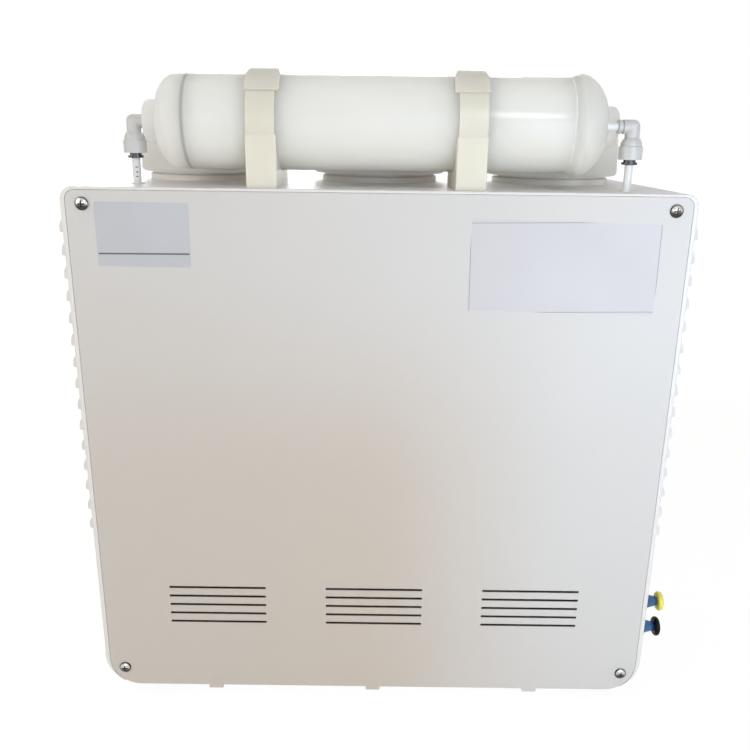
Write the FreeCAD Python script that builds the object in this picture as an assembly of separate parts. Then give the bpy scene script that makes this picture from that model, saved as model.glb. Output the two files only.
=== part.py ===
import FreeCAD
import Part
import math
import os

# Bench-top ultrapure water system, in millimetres. X runs across the machine, Y from its front
# to its rear, Z up. It is drawn with the rear face at Y = 0, its middle at X = 0 and the table
# at Z = 0, and is moved at the end so that the origin is the middle of the bottom of its box.

Vec = FreeCAD.Vector
X_AXIS = Vec(1, 0, 0)
Y_AXIS = Vec(0, 1, 0)
Z_AXIS = Vec(0, 0, 1)

# Cabinet
cabinet_width = 480.0
cabinet_height = 440.0
cabinet_depth = 360.0
foot_height = 12.0
foot_radius = 13.0
foot_x = 190.0
foot_inset = 30.0
wall = 3.0
top_corner = 10.0
bottom_corner = 30.0
rolled_edge = 1.2
cover_depth = 22.0
cover_edge = 8.0
sheet = 2.0
gap = 0.3

# Rear frame and panel
rim_width = 3.8
rim_top = 2.0
frame_depth = 5.0
frame_width = 12.0
panel_inset = 0.2
boss_radius = 6.5
boss_depth = 16.0
screw_half_span = 223.2
screw_low = 17.6
screw_high = 427.5
screw_head_radius = 5.0
screw_head_height = 2.6
screw_shank_radius = 2.4
screw_shank = 12.0
recess_reach = 2.5
slot_group_spacing = 136.5
slot_length = 84.0
slot_height = 2.2
slot_first = 66.3
slot_pitch = 8.5
slot_count = 5
tab_spacing = 142.0
tab_width = 12.8
tab_drop = 3.5

# Side louvres
louvre_count = 15
louvre_pitch = 18.0
louvre_first = 153.2
louvre_proud = 5.2
louvre_rise = 12.0
louvre_start = 5.0
louvre_run = 190.0
throat_margin = 8.0

# Purification columns that stand in the deck
column_spacing = 156.0
column_y = -145.0
column_radius = 45.0
column_bottom = 78.0
column_flange_radius = 50.0
column_neck_radius = 44.0
collar_radius = 52.0
collar_height = 5.0
lid_radius = 59.5
lid_low = 7.0
lid_height = 37.0
lid_crown = 4.0
spigot_radius = 6.0
spigot_offset = 20.0
spigot_length = 14.0

# Filter housing that lies across the deck
housing_y = -45.0
housing_rise = 47.7
housing_radius = 35.6
housing_wall = 4.0
thread_length = 13.0
dome_start = 158.0
dome_reach = 17.3
nose_radius = 16.5
nose_end = 183.0
cap_start = 145.1
cap_swell = 152.5
cap_lip_radius = 38.6
cap_reach = 24.5
cap_nose_radius = 15.2
cap_end = 184.0
side_port_offset = 21.0
element_radius = 29.5
element_end = 149.6

# Clips that hold the housing
clip_x = (-69.1, 89.0)
clip_width = 21.5
clip_radius = 38.4
clip_fit = 0.15
clip_slit = 15.0
block_width = 23.5
block_top = -9.3
head_radius = 40.4
head_from = -8.0
head_to = 55.0
head_outer = 11.6
head_inner = 14.2
peg_radius = 3.0
peg_offset = 22.0

# Push-fit elbows and quarter-inch tube
tube_radius = 3.175
tube_bore = 2.2
bore_fit = 0.06
left_elbow_x = 193.2
right_elbow_x = -191.4
elbow_drop = 24.0
elbow_neck = 5.3
socket_bore = 4.7
collet_gap = 1.8
collet_flange = 2.0
grommet_radius = 4.6

# Hand valves on the service side
valve_y = -25.0
valve_heights = (62.4, 88.8)
valve_flange_radius = 9.5
valve_flange = 6.5
valve_neck_end = 16.8
valve_cone_radius = 6.6
valve_tip_radius = 4.0
valve_tail_x = (-228.0, -219.0)
knob_radius = 8.6
knob_reach = 22.1
knob_gap = 0.3
spindle_radius = 2.0

# Mains inlet with its rocker, and the two water ports
inlet_y = -150.0
inlet_z = 122.0
inlet_width = 28.0
inlet_tall = 48.0
inlet_deep = 20.0
inlet_flange = 2.0
rocker_pin_depth = 4.0
rocker_pin_radius = 1.2
rocker_drop = 11.0
rocker_tilt = 8.0
port_y = -205.0
port_heights = (56.0, 84.0)
port_radius = 5.7
port_depth = 12.0
port_proud = 10.0
port_tail = 10.0

# Control fascia and keys
fascia_x = -70.0
fascia_half = 92.0
fascia_low = 292.0
fascia_high = 420.0
fascia_thickness = 1.5
window_half = 66.0
window_low = 346.0
window_high = 404.0
window_corner = 4.0
window_fit = 0.2
key_z = 318.0
key_spacing = 36.0
key_radius = 6.5
key_gap = 0.35
board_gap = 17.0
board_thickness = 1.6

# Dispensing spout
spout_x = 140.0
spout_z = 300.0
pivot_gap = 28.0
spout_reach = 50.0
spout_radius = 5.0
spout_wall = 1.8
spout_top = 350.0
spout_bend = 16.0
filter_radius = 16.0
filter_low = 262.0
filter_top = 326.0

# Manifold under the columns; the line ends are x and z on its front or rear face
manifold_half = 205.0
manifold_reach = 40.0
manifold_low = 34.0
raw_inlet = (-190.0, 50.0)
pump_inlet = (-102.0, 60.0)
product_outlet = (-145.0, 60.0)

# Feed valve, pump and motor in one line across the pan
pump_y = -250.0
pump_half = 20.0
pump_low = 36.0
pump_high = 84.0
motor_radius = 28.0
motor_length = 94.0
motor_z = 60.0
feed_z = 54.0
feed_valve_x = -175.0
feed_valve_half = 15.0

# Product valve and conductivity cell under the right riser
product_valve_z = 122.5
product_valve_half = 12.5
product_line_y = -18.0
product_line_z = 122.0
cell_low = 170.0
cell_length = 60.0
cell_radius = 9.5

# Ultraviolet chamber under the left riser
uv_z = 262.0
uv_radius = 25.0
uv_left = -160.0
uv_right = 208.0
uv_port = 7.5
uv_rests = (-100.0, 150.0)

# Power supply and cables
supply_x = (30.0, 184.0)
supply_y = (-325.0, -228.0)
supply_top = 56.0
cable_radius = 2.5

# Worked-out levels and places
half_width = cabinet_width / 2
deck_z = foot_height + cabinet_height
front_y = -cabinet_depth
shell_front = cover_depth - cabinet_depth
pan_top = foot_height + sheet
panel_back = -panel_inset - sheet
housing_z = deck_z + housing_rise
housing_bore = housing_radius - housing_wall
thread_radius = housing_radius - housing_wall / 2
side_port_y = housing_y + side_port_offset
tube_hole = tube_radius + bore_fit
board_face = front_y + wall + board_gap
board_back = board_face + board_thickness
pivot_y = front_y - pivot_gap
outlet_y = pivot_y - spout_reach
rocker_z = inlet_z + inlet_tall / 2 - rocker_drop
front_reach = filter_radius - outlet_y
rear_reach = screw_head_height - panel_inset
column_places = [(side * column_spacing, column_y) for side in (-1, 0, 1)]
foot_places = [(side * foot_x, y) for side in (-1, 1) for y in (-foot_inset, shell_front + foot_inset)]
screw_places = [(side * screw_half_span, foot_height + rise)
                for side in (-1, 1) for rise in (screw_low, screw_high)]
riser_places = [(left_elbow_x, housing_y), (right_elbow_x, side_port_y)]
peg_places = [(x, housing_y + side * peg_offset) for x in clip_x for side in (-1, 1)]
key_places = [fascia_x + (index - 1.5) * key_spacing for index in range(4)]
board_corners = [(fascia_x + side * (fascia_half - 8), z)
                 for side in (-1, 1) for z in (fascia_low + 8, fascia_high - 8)]
origin_shift = Vec((knob_reach - louvre_proud) / 2, (front_reach - rear_reach) / 2, 0)


def box(x, y, z):
    """A block between the limits given for each axis."""
    return Part.makeBox(x[1] - x[0], y[1] - y[0], z[1] - z[0], Vec(x[0], y[0], z[0]))


def about(middle, half):
    """The two limits of a stretch that reaches the same way to both sides."""
    return (middle - half, middle + half)


def rod(start, direction, radius, length):
    return Part.makeCylinder(radius, length, Vec(*start), direction)


def pipe(start, direction, outer, inner, length):
    return rod(start, direction, outer, length).cut(rod(start, direction, inner, length))


def closed_wire(steps, place):
    """A step is a point (a, b), or a pair of points for an arc through the first to the second."""
    edges = []
    here = place(*steps[0])
    for step in steps[1:] + steps[:1]:
        if isinstance(step[0], tuple):
            end = place(*step[1])
            edges.append(Part.Arc(here, place(*step[0]), end).toShape())
        else:
            end = place(*step)
            if here.distanceToPoint(end) > 1e-6:
                edges.append(Part.LineSegment(here, end).toShape())
        here = end
    return Part.Wire(edges)


def prism(steps, place, along):
    return Part.Face(closed_wire(steps, place)).extrude(along)


def turned(steps, start, direction):
    """A solid of revolution from (radius, height) steps, standing at start along direction."""
    solid = Part.Face(closed_wire(steps, lambda r, h: Vec(r, 0, h))).revolve(Vec(), Z_AXIS, 360)
    solid.Placement = FreeCAD.Placement(Vec(*start), FreeCAD.Rotation(Z_AXIS, direction))
    return solid


def joined(solids):
    return solids[0].multiFuse(solids[1:]).removeSplitter()


def rounded(corner, before, after, radius):
    """Steps that round a square corner, with the way back along the outline and the way on."""
    a, b = corner
    soft = radius * (1 - math.sqrt(0.5))
    start = (a + before[0] * radius, b + before[1] * radius)
    middle = (a + (before[0] + after[0]) * soft, b + (before[1] + after[1]) * soft)
    end = (a + after[0] * radius, b + after[1] * radius)
    return [start, (middle, end)]


def dome(radius, low, high):
    """Steps from a rim up to the middle of a shallow round crown."""
    rise = high - low
    ball = (radius ** 2 + rise ** 2) / (2 * rise)
    half = math.asin(radius / ball) / 2
    return [(radius, low), ((ball * math.sin(half), high - ball * (1 - math.cos(half))), (0, high))]


def oval(radius, start, reach, inner):
    """Steps of three arcs along a flattened quarter oval, from its rim in to the inner radius."""
    turn = math.acos(inner / radius) / 6
    points = [(radius * math.cos(turn * i), start + reach * math.sin(turn * i)) for i in range(7)]
    return [points[0]] + [(points[i], points[i + 1]) for i in (1, 3, 5)]


def ring_sector(inner, outer, start, end):
    """Steps round a sector of a ring; its angles run from the top over to the rear."""
    def spot(radius, turn):
        return (radius * math.sin(math.radians(turn)), radius * math.cos(math.radians(turn)))
    middle = (start + end) / 2
    return [spot(outer, start), (spot(outer, middle), spot(outer, end)),
            spot(inner, end), (spot(inner, middle), spot(inner, start))]


def rounded_steps(left, right, low, high, low_r, high_r):
    """Outline of a plate with its own corner radii at the bottom and at the top."""
    steps = rounded((left, high), (0, -1), (1, 0), high_r)
    steps += rounded((right, high), (-1, 0), (0, -1), high_r)
    steps += rounded((right, low), (0, 1), (-1, 0), low_r)
    steps += rounded((left, low), (1, 0), (0, 1), low_r)
    return steps


def plate(left, right, low, high, low_r, high_r, y):
    """A rounded plate that faces the rear, between the two limits in y."""
    steps = rounded_steps(left, right, low, high, low_r, high_r)
    return prism(steps, lambda x, z: Vec(x, y[0], z), Vec(0, y[1] - y[0], 0))


def cabinet_section(inset, y):
    """The cabinet's rounded section, drawn in by an inset."""
    low_r = max(bottom_corner - inset, 1.0)
    high_r = max(top_corner - inset, 1.0)
    left, right = about(0, half_width - inset)
    return plate(left, right, foot_height + inset, deck_z - inset, low_r, high_r, y)


def edges_at_y(solid, y):
    return [e for e in solid.Edges if all(abs(v.Y - y) < 1e-4 for v in e.Vertexes)]


def upright_edges(solid):
    return [e for e in solid.Edges if abs(e.tangentAt(e.FirstParameter).z) > 0.999]


def swept(spine, start, radius, heading):
    """A round bar along a wire."""
    ring = Part.Wire([Part.makeCircle(radius, start, heading)])
    return spine.makePipeShell([ring], True, False)


def run_tube(points, outer, inner=0.0, bend=None):
    """Tube along straight runs joined by tangent arcs, of a given radius or as large as fits."""
    points = [Vec(*p) for p in points]
    edges = []
    here = points[0]
    for before, corner, after in zip(points, points[1:], points[2:]):
        back = (before - corner).normalize()
        ahead = (after - corner).normalize()
        half_turn = (math.pi - back.getAngle(ahead)) / 2
        trim = 0.45 * min((before - corner).Length, (after - corner).Length)
        if bend:
            trim = bend * math.tan(half_turn)
        radius = trim / math.tan(half_turn)
        start = corner + back * trim
        end = corner + ahead * trim
        middle_way = (back + ahead).normalize()
        via = corner + middle_way * (radius / math.cos(half_turn) - radius)
        edges.append(Part.LineSegment(here, start).toShape())
        edges.append(Part.Arc(start, via, end).toShape())
        here = end
    edges.append(Part.LineSegment(here, points[-1]).toShape())
    spine = Part.Wire(edges)
    heading = points[1] - points[0]
    tube = swept(spine, points[0], outer, heading)
    if inner:
        tube = tube.cut(swept(spine, points[0], inner, heading))
    return tube


def louvre_lows():
    return [foot_height + louvre_first + index * louvre_pitch for index in range(louvre_count)]


def louvre_hoods(side):
    """The hoods on one side wall, proud of it and open underneath, and the solid that trims their ends."""
    out = side * half_width
    hoods = []
    for low in louvre_lows():
        steps = [
            (out - side, low),
            *rounded((out + side * louvre_proud, low), (-side, 0), (0, 1), 1.1),
            ((out + side * 0.8 * louvre_proud, low + 0.6 * louvre_rise), (out, low + louvre_rise)),
            (out - side, low + louvre_rise),
        ]
        hoods.append(prism(steps, lambda x, z: Vec(x, -louvre_start, z), Vec(0, -louvre_run, 0)))
    rear = -louvre_start
    front = rear - louvre_run
    beyond = out + side * (louvre_proud + 0.1)
    ends = [(out - side, rear), (out, rear), (beyond, rear - 3), (beyond, front + 8), (out, front),
            (out - side, front)]
    return hoods, prism(ends, lambda x, y: Vec(x, y, foot_height), Vec(0, 0, cabinet_height))


def louvre_throats(side):
    """The slanting air gaps behind the hoods, which rise from the underside into the cabinet."""
    out = side * half_width
    inside = out - side * (wall + 0.5)
    rear = -louvre_start - throat_margin
    throats = []
    for low in louvre_lows():
        steps = [
            (out + side * 3.4, low - 0.5),
            (out + side * 3.4, low + 2.0),
            (inside, low + 8.4),
            (inside, low + 4.6),
            (out + side * 0.8, low + 0.6),
            (out + side * 0.8, low - 0.5),
        ]
        along = Vec(0, 2 * throat_margin - louvre_run, 0)
        throats.append(prism(steps, lambda x, z: Vec(x, rear, z), along))
    return throats


def rolled_wrap():
    """The wrap before it is hollowed, with its rear edge rolled round from the low corners up."""
    wrap = cabinet_section(0, (shell_front, 0))
    level = foot_height + bottom_corner + 4
    across = (-half_width, half_width)
    upper = wrap.common(box(across, (shell_front, 0), (level, deck_z)))
    lower = wrap.common(box(across, (shell_front, 0), (foot_height, level)))
    rolled = [e for e in edges_at_y(upper, 0) if max(v.Z for v in e.Vertexes) > level + 1]
    return upper.makeFillet(rolled_edge, rolled).fuse(lower)


def side_holes():
    """Openings in the service side for the hand valves, the water ports and the mains inlet."""
    outside = -half_width - 1
    holes = [rod((outside, valve_y, z), X_AXIS, 7.0, wall + 2) for z in valve_heights]
    holes += [rod((outside, port_y, z), X_AXIS, 8.2, wall + 2) for z in port_heights]
    holes.append(box((outside, outside + wall + 2), about(inlet_y, inlet_width / 2 + 0.2),
                     about(inlet_z, inlet_tall / 2 + 0.2)))
    return holes


def deck_holes():
    """Openings in the deck for the columns, the two risers and the clips' pegs."""
    low = deck_z - wall - 2
    places = [(place, collar_radius - 3) for place in column_places]
    places += [(place, grommet_radius + 0.1) for place in riser_places]
    places += [(place, peg_radius + 0.08) for place in peg_places]
    return [rod((*place, low), Z_AXIS, radius, 2 * wall + 4) for place, radius in places]


def cabinet_shell():
    """Deck and side walls in one wrap, with the rear frame that the panel screws to."""
    hollow = cabinet_section(wall, (shell_front, -frame_depth))
    opening = cabinet_section(frame_width, (-frame_depth, 0))
    pocket = plate(rim_width - half_width, half_width - rim_width, foot_height - 2 * gap,
                   deck_z - rim_top, bottom_corner - rim_width, top_corner - rim_top, (panel_back, 1))
    underside = box(about(0, half_width - bottom_corner), (shell_front, -frame_depth),
                    (foot_height - 1, foot_height + 5))
    solids = [rolled_wrap().cut([hollow, opening, pocket, underside])]
    for x, z in screw_places:
        solids.append(rod((x, -boss_depth, z), Y_AXIS, boss_radius, boss_depth + panel_back))
    for side in (-1, 1):
        hoods, limits = louvre_hoods(side)
        solids += [hood.common(limits) for hood in hoods]
    holes = [rod((x, -boss_depth - 1, z), Y_AXIS, screw_shank_radius + 0.1, boss_depth + 2)
             for x, z in screw_places]
    holes += deck_holes() + side_holes() + louvre_throats(-1) + louvre_throats(1)
    return solids[0].multiFuse(solids[1:]).cut(holes).removeSplitter()


def rear_panel():
    """Flat rear sheet with three groups of vent slots, four screw holes and three low tabs."""
    edge = half_width - rim_width - gap
    face = (panel_back, -panel_inset)
    panel = plate(-edge, edge, foot_height, deck_z - rim_top - gap, bottom_corner - rim_width - gap,
                  top_corner - rim_top - gap, face)
    tabs = []
    cuts = [rod((x, -5, z), Y_AXIS, screw_shank_radius + 0.3, 6) for x, z in screw_places]
    for column in (-1, 0, 1):
        left, right = about(column * tab_spacing, tab_width / 2)
        tabs.append(plate(left, right, foot_height - tab_drop, foot_height + 2, 1.0, 0.2, face))
        for row in range(slot_count):
            z = foot_height + slot_first + row * slot_pitch
            cuts.append(box(about(column * slot_group_spacing, slot_length / 2), (-5, 1),
                            about(z, slot_height / 2)))
    return joined([panel] + tabs).cut(cuts)


def panel_screws():
    """Four pan heads with a cross recess."""
    screws = []
    for x, z in screw_places:
        head = turned([(0, 0), (screw_head_radius, 0)] + dome(screw_head_radius, 0.9, screw_head_height),
                      (x, -panel_inset, z), Y_AXIS)
        shank = rod((x, -panel_inset - screw_shank, z), Y_AXIS, screw_shank_radius, screw_shank)
        recess = [box(about(x, across), (0.8, 3), about(z, up))
                  for across, up in ((recess_reach, 0.55), (0.55, recess_reach))]
        screws.append(joined([head, shank]).cut(recess))
    return Part.makeCompound(screws)


def sticker(middle_x, middle_z, width, height, tilt):
    """A thin sheet stuck on the panel, laid on slightly out of level."""
    film = plate(-width / 2, width / 2, -height / 2, height / 2, 2.0, 2.0, (-panel_inset, 0))
    film.rotate(Vec(), Y_AXIS, tilt)
    film.translate(Vec(middle_x, 0, middle_z))
    return film


def base_pan():
    """Folded steel floor between the wrap's rolled edges."""
    reach = half_width - bottom_corner
    outer = box(about(0, reach), (shell_front, -frame_depth), (foot_height, foot_height + 14))
    inner = box(about(0, reach - sheet), (shell_front + sheet, -frame_depth - sheet),
                (pan_top, foot_height + 20))
    holes = [rod((x, y, 0), Z_AXIS, 3.0, 20) for x, y in foot_places]
    return outer.cut([inner] + holes)


def feet():
    """Four rubber feet with moulded studs through the pan."""
    steps = [(0, 0), *rounded((foot_radius - 1.2, 0), (-1, 0), (0, 1), 1.2), (foot_radius, foot_height),
             (2.9, foot_height), (2.9, foot_height + 5), (0, foot_height + 5)]
    return Part.makeCompound([turned(steps, (x, y, 0), Z_AXIS) for x, y in foot_places])


def window_plate(grow, y):
    """The display window's outline, grown all round."""
    left, right = about(fascia_x, window_half + grow)
    return plate(left, right, window_low - grow, window_high + grow, window_corner, window_corner, y)


def key_holes(y, length):
    return [rod((x, y, key_z), Y_AXIS, key_radius + key_gap, length) for x in key_places]


def front_cover():
    """Moulded front tray, with a lip that enters the wrap and posts for the control board."""
    inset = wall + 2.3
    lip_depth = 10.0
    cover = cabinet_section(0, (front_y, shell_front))
    cover = cover.makeFillet(cover_edge, edges_at_y(cover, front_y))
    cavity = cabinet_section(inset, (front_y + wall, shell_front + 1))
    lip = cabinet_section(wall + 0.3, (shell_front - 1, shell_front + lip_depth))
    open_foot = box(about(0, half_width), (shell_front - 2, shell_front + lip_depth + 1), (0, 60))
    lip = lip.cut([cabinet_section(inset, (shell_front - 2, shell_front + lip_depth + 1)), open_foot])
    posts = [rod((x, front_y + wall - 0.5, z), Y_AXIS, 3.5, board_gap + 0.5) for x, z in board_corners]
    window = window_plate(window_fit, (front_y - 1, front_y + wall + 1))
    spout_hole = rod((spout_x, front_y - 1, spout_z), Y_AXIS, 6.2, wall + 2)
    holes = [window, spout_hole] + key_holes(front_y - 1, wall + 2)
    return joined([cover.cut(cavity), lip] + posts).cut(holes)


def control_fascia():
    """Thin grey plate round the window and the keys."""
    left, right = about(fascia_x, fascia_half)
    face = plate(left, right, fascia_low, fascia_high, 8, 8, (front_y - fascia_thickness, front_y))
    return face.cut([window_plate(window_fit, (front_y - 5, front_y + 5))] + key_holes(front_y - 5, 10))


def display_window():
    return window_plate(0, (front_y - fascia_thickness, front_y + 1.5))


def display_module():
    """Liquid-crystal module between the window and the board."""
    middle = front_y + 9
    frame = box(about(fascia_x, window_half - 4), (front_y + 1.5, middle), (window_low + 3, window_high - 3))
    back = box(about(fascia_x, window_half - 11), (middle, board_face), (window_low + 10, window_high - 10))
    return joined([frame, back])


def control_board():
    """Circuit board with its key switches, a chip and a terminal block."""
    height = (fascia_low + 2, fascia_high - 2)
    solids = [box(about(fascia_x, fascia_half - 2), (board_face, board_back), height)]
    for x in key_places:
        solids.append(box(about(x, 6), (board_face - 6, board_face), about(key_z, 6)))
    solids.append(box(about(fascia_x - 3, 17), (board_back, board_back + 3.4), about(343, 13)))
    solids.append(box(about(fascia_x - 60, 20), (board_back, board_back + 11.4), about(306, 6)))
    holes = [rod((x, board_face - 1, z), Y_AXIS, 1.6, 4) for x, z in board_corners]
    return joined(solids).cut(holes)


def key_cap(x):
    """Round key with a retaining flange behind the cover and a stem to its switch."""
    face = front_y - fascia_thickness - 2.0
    flange = wall + 4.0
    stem_end = 16.5
    steps = [(0, 0), (key_radius - 1.2, 0), ((key_radius - 0.35, 0.35), (key_radius, 1.2)),
             (key_radius, flange), (key_radius + 1, flange), (key_radius + 1, flange + 1.5),
             (3, flange + 1.5), (3, stem_end), (0, stem_end)]
    return turned(steps, (x, face, key_z), Y_AXIS)


def column_collars():
    """Rings that line the three deck openings."""
    inner = column_radius + 0.6
    steps = [(inner, -12), (collar_radius - 3.2, -12), (collar_radius - 3.2, 0), (collar_radius, 0),
             (collar_radius, collar_height - 1), (collar_radius - 1, collar_height), (inner, collar_height)]
    return Part.makeCompound([turned(steps, (x, y, deck_z), Z_AXIS) for x, y in column_places])


def column(place):
    """A sealed cartridge with two spigots below and a neck above, which lifts out of the deck."""
    x, y = place
    seat = deck_z + collar_height + gap - column_bottom
    neck = column_neck_radius
    steps = [(0, 0), (column_radius - 4, 0), ((column_radius - 1.2, 1.2), (column_radius, 4)),
             (column_radius, seat), (column_flange_radius, seat), (column_flange_radius, seat + 3.5),
             (neck, seat + 3.5), (neck, seat + 28), (neck - 2, seat + 29), (0, seat + 29)]
    solids = [turned(steps, (x, y, column_bottom), Z_AXIS)]
    groove = spigot_radius - 1
    for side in (-1, 1):
        steps = [(0, 0), (groove, 0), (spigot_radius, 1), (spigot_radius, 4), (groove, 4.6), (groove, 6.4),
                 (spigot_radius, 7), (spigot_radius, spigot_length), (0, spigot_length)]
        solids.append(turned(steps, (x + side * spigot_offset, y, column_bottom - spigot_length), Z_AXIS))
    return joined(solids)


def column_lid(place):
    """Round screw lid with a grip bar across its crown."""
    x, y = place
    low = deck_z + lid_low
    rim = lid_radius
    skirt = column_flange_radius + 2.5
    bore = column_neck_radius + 2
    steps = [(skirt, 0), (rim - 3, 0), ((rim - 0.9, 0.9), (rim, 3)), (rim - 1, lid_height - 8),
             ((rim - 4, lid_height - 2), (rim - 11, lid_height)),
             ((rim / 2, lid_height + lid_crown * 0.7), (0, lid_height + lid_crown)),
             (0, lid_height - 7), (bore, lid_height - 7), (bore, 5), (skirt, 5)]
    bar = box(about(x, 40), about(y, 6), (low + lid_height - 3, low + lid_height + 7))
    return joined([turned(steps, (x, y, low), Z_AXIS), bar.makeFillet(3.0, bar.Edges[:])])


def manifold_block():
    """Block under the columns, with a pair of sockets for each and holes for the tubes."""
    top = column_bottom - 0.5
    front, rear = about(column_y, manifold_reach)
    solids = [box(about(0, manifold_half), (front, rear), (manifold_low, top))]
    solids += [box(about(x, 12), about(column_y, 30), (pan_top, manifold_low + 1)) for x in (-150, 0, 150)]
    cuts = []
    for x, y in column_places:
        for side in (-1, 1):
            cuts.append(rod((x + side * spigot_offset, y, top - spigot_length), Z_AXIS,
                            spigot_radius + bore_fit, spigot_length + 1))
    cuts.append(rod((pump_inlet[0], front - 1, pump_inlet[1]), Y_AXIS, tube_hole, 11))
    for x, z in (raw_inlet, product_outlet):
        cuts.append(rod((x, rear + 1, z), -Y_AXIS, tube_hole, 11))
    return joined(solids).cut(cuts)


def along_housing(steps):
    """Turned about the housing's axis; heights run along X from the machine's middle."""
    return turned(steps, (0, housing_y, housing_z), X_AXIS)


def filter_housing():
    """Translucent tube with a closed domed end; the other end takes the screwed cap."""
    tube_end = -cap_start - thread_length
    floor = dome_start + 8.5
    steps = [
        (housing_bore, tube_end), (thread_radius, tube_end), (thread_radius, -cap_start),
        (housing_radius, -cap_start), *oval(housing_radius, dome_start, dome_reach, nose_radius),
        *rounded((nose_radius, nose_end), (0, -1), (-1, 0), 3.5),
        (elbow_neck, nose_end), (elbow_neck, floor), (nose_radius - 4, floor),
        ((26.5, floor - 3.5), (housing_bore, floor - 12)),
    ]
    return along_housing(steps)


def housing_end_cap():
    """Screwed cap that swells to a lip, with a domed end and a side port for the outlet stem."""
    mouth = -cap_start - 0.2
    cavity = thread_radius + 0.2
    floor = -cap_start - thread_length - 0.9
    steps = [
        (cavity, mouth), (housing_radius + 0.3, mouth), ((36.9, -148.9), (cap_lip_radius, -cap_swell)),
        *oval(cap_lip_radius, -cap_swell, -cap_reach, cap_nose_radius)[1:],
        *rounded((cap_nose_radius, -cap_end), (0, 1), (-1, 0), 3.5),
        (0, -cap_end), (0, floor - 7), (20, floor - 6), (cavity, floor),
    ]
    hole = rod((floor - 3, side_port_y, housing_z), -X_AXIS, tube_hole, 30)
    return along_housing(steps).cut(hole)


def membrane_element():
    """Wound element inside the housing, with its centre tube standing out at both ends."""
    core = 8.0
    steps = [(0, -156), (core, -156), (core, -150), (element_radius, -150), (element_radius, element_end),
             (core, element_end), (core, element_end + 7.4), (0, element_end + 7.4)]
    return along_housing(steps)


def housing_seals():
    """Dark seal round the element's end, and the ring inside the screwed cap."""
    inner = element_radius + 0.06
    outer = housing_bore - 0.1
    rings = []
    for low, high in ((element_end - 4.2, element_end - 0.4), (-149.6, -146.4)):
        rings.append(along_housing([(inner, low), (outer, low), (outer, high), (inner, high)]))
    return Part.makeCompound(rings)


def housing_clip(x):
    """Clip on a block: its front arm reaches over the top and hooks over the end of its rear arm."""
    def sector(inner, outer, start, end, width):
        return prism(ring_sector(inner, outer, start, end),
                     lambda y, z: Vec(x - width / 2, housing_y + y, housing_z + z), Vec(width, 0, 0))
    saddle = housing_radius + clip_fit
    half_slit = 0.4
    strap = sector(saddle, clip_radius, clip_slit + half_slit, clip_slit + 360 - half_slit, clip_width)
    half_block = math.sqrt(clip_radius ** 2 - block_top ** 2)
    block = box(about(x, block_width / 2), about(housing_y, half_block), (deck_z, housing_z + block_top))
    block = block.makeFillet(1.5, upright_edges(block))
    block = block.cut(rod((x - block_width, housing_y, housing_z), X_AXIS, saddle, 2 * block_width))
    cover = sector(clip_radius + gap, head_radius, head_from, head_to, 40)
    root = sector(clip_radius - 1, head_radius - 1, head_from, clip_slit - half_slit, clip_width)
    # the head reaches further toward the middle of the deck than toward its end
    outward = 1 if x > 0 else -1
    outline = [(-head_inner, 0), (head_outer, 0), (head_outer, 34.3), (head_outer - 3.0, head_radius),
               (3.0 - head_inner, head_radius), (-head_inner, 34.3)]
    limits = prism(outline, lambda a, z: Vec(x + outward * a, housing_y - 60, housing_z + z), Vec(0, 120, 0))
    pegs = []
    for side in (-1, 1):
        barb = peg_radius + 0.9
        steps = [(0, -wall - 6), (2.2, -wall - 6), (barb, -wall - 1), (barb, -wall - 0.2),
                 (peg_radius, -wall - 0.2), (peg_radius, 1), (0, 1)]
        pegs.append(turned(steps, (x, housing_y + side * peg_offset, deck_z), Z_AXIS))
    return joined([strap, block, cover.common(limits), root] + pegs)


def housing_clips():
    return Part.makeCompound([housing_clip(x) for x in clip_x])


def elbow(x, y, toward, arm_end):
    """Push-fit elbow: a short arm to the housing and a wider socket that faces down."""
    bend = elbow_neck * math.sqrt(0.5)
    steps = [(0, -elbow_drop), (8.8, -elbow_drop), (9.0, -15.2), (8.8, -14.3), (7.9, -14.1), (7.9, -12.2),
             ((7.2, -10.4), (elbow_neck + 0.2, -8)), (elbow_neck, 0), ((bend, bend), (0, elbow_neck))]
    socket = turned(steps, (x, y, housing_z), Z_AXIS)
    arm = rod((x, y, housing_z), X_AXIS * toward, elbow_neck - 0.05, abs(arm_end - x))
    cuts = [rod((x, y, housing_z - elbow_drop - 1), Z_AXIS, socket_bore, 15),
            rod((x, y, housing_z - 12), Z_AXIS, tube_hole, 9),
            rod((x, y, housing_z - 8), Z_AXIS, tube_bore, 8),
            rod((x, y, housing_z), X_AXIS * toward, tube_bore, 40)]
    return joined([socket, arm]), cuts


def elbow_left():
    body, cuts = elbow(left_elbow_x, housing_y, -1, nose_end - 14.5)
    return body.cut(cuts)


def elbow_right():
    mouth = right_elbow_x + 7.7
    body, cuts = elbow(right_elbow_x, side_port_y, 1, mouth)
    cuts.append(rod((mouth + 0.1, side_port_y, housing_z), -X_AXIS, 4.3, 6.4))
    return body.cut(cuts)


def down_collet(x, y):
    """Release collar under an elbow: a sleeve round the tube with a flange below."""
    low = -elbow_drop - collet_gap - collet_flange
    sleeve = socket_bore - 0.08
    top = low + collet_flange
    steps = [(tube_hole, low), (5.6, low), (6.0, low + 0.4), (6.0, top), (sleeve, top), (sleeve, -12.2),
             (tube_hole, -12.2)]
    return turned(steps, (x, y, housing_z), Z_AXIS)


def collet_side():
    """Release collar on the right elbow's arm."""
    steps = [(tube_hole, 0), (5.2, 0), (5.2, 2), (4.22, 2), (4.22, 8.0), (tube_hole, 8.0)]
    return turned(steps, (right_elbow_x + 11.5, side_port_y, housing_z), -X_AXIS)


def riser(x, y, low):
    top = housing_z - 4.5
    return pipe((x, y, low), Z_AXIS, tube_radius, tube_bore, top - low)


def port_stem():
    start = right_elbow_x + 24.4
    return pipe((start, side_port_y, housing_z), -X_AXIS, tube_radius, tube_bore, 22.8)


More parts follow.
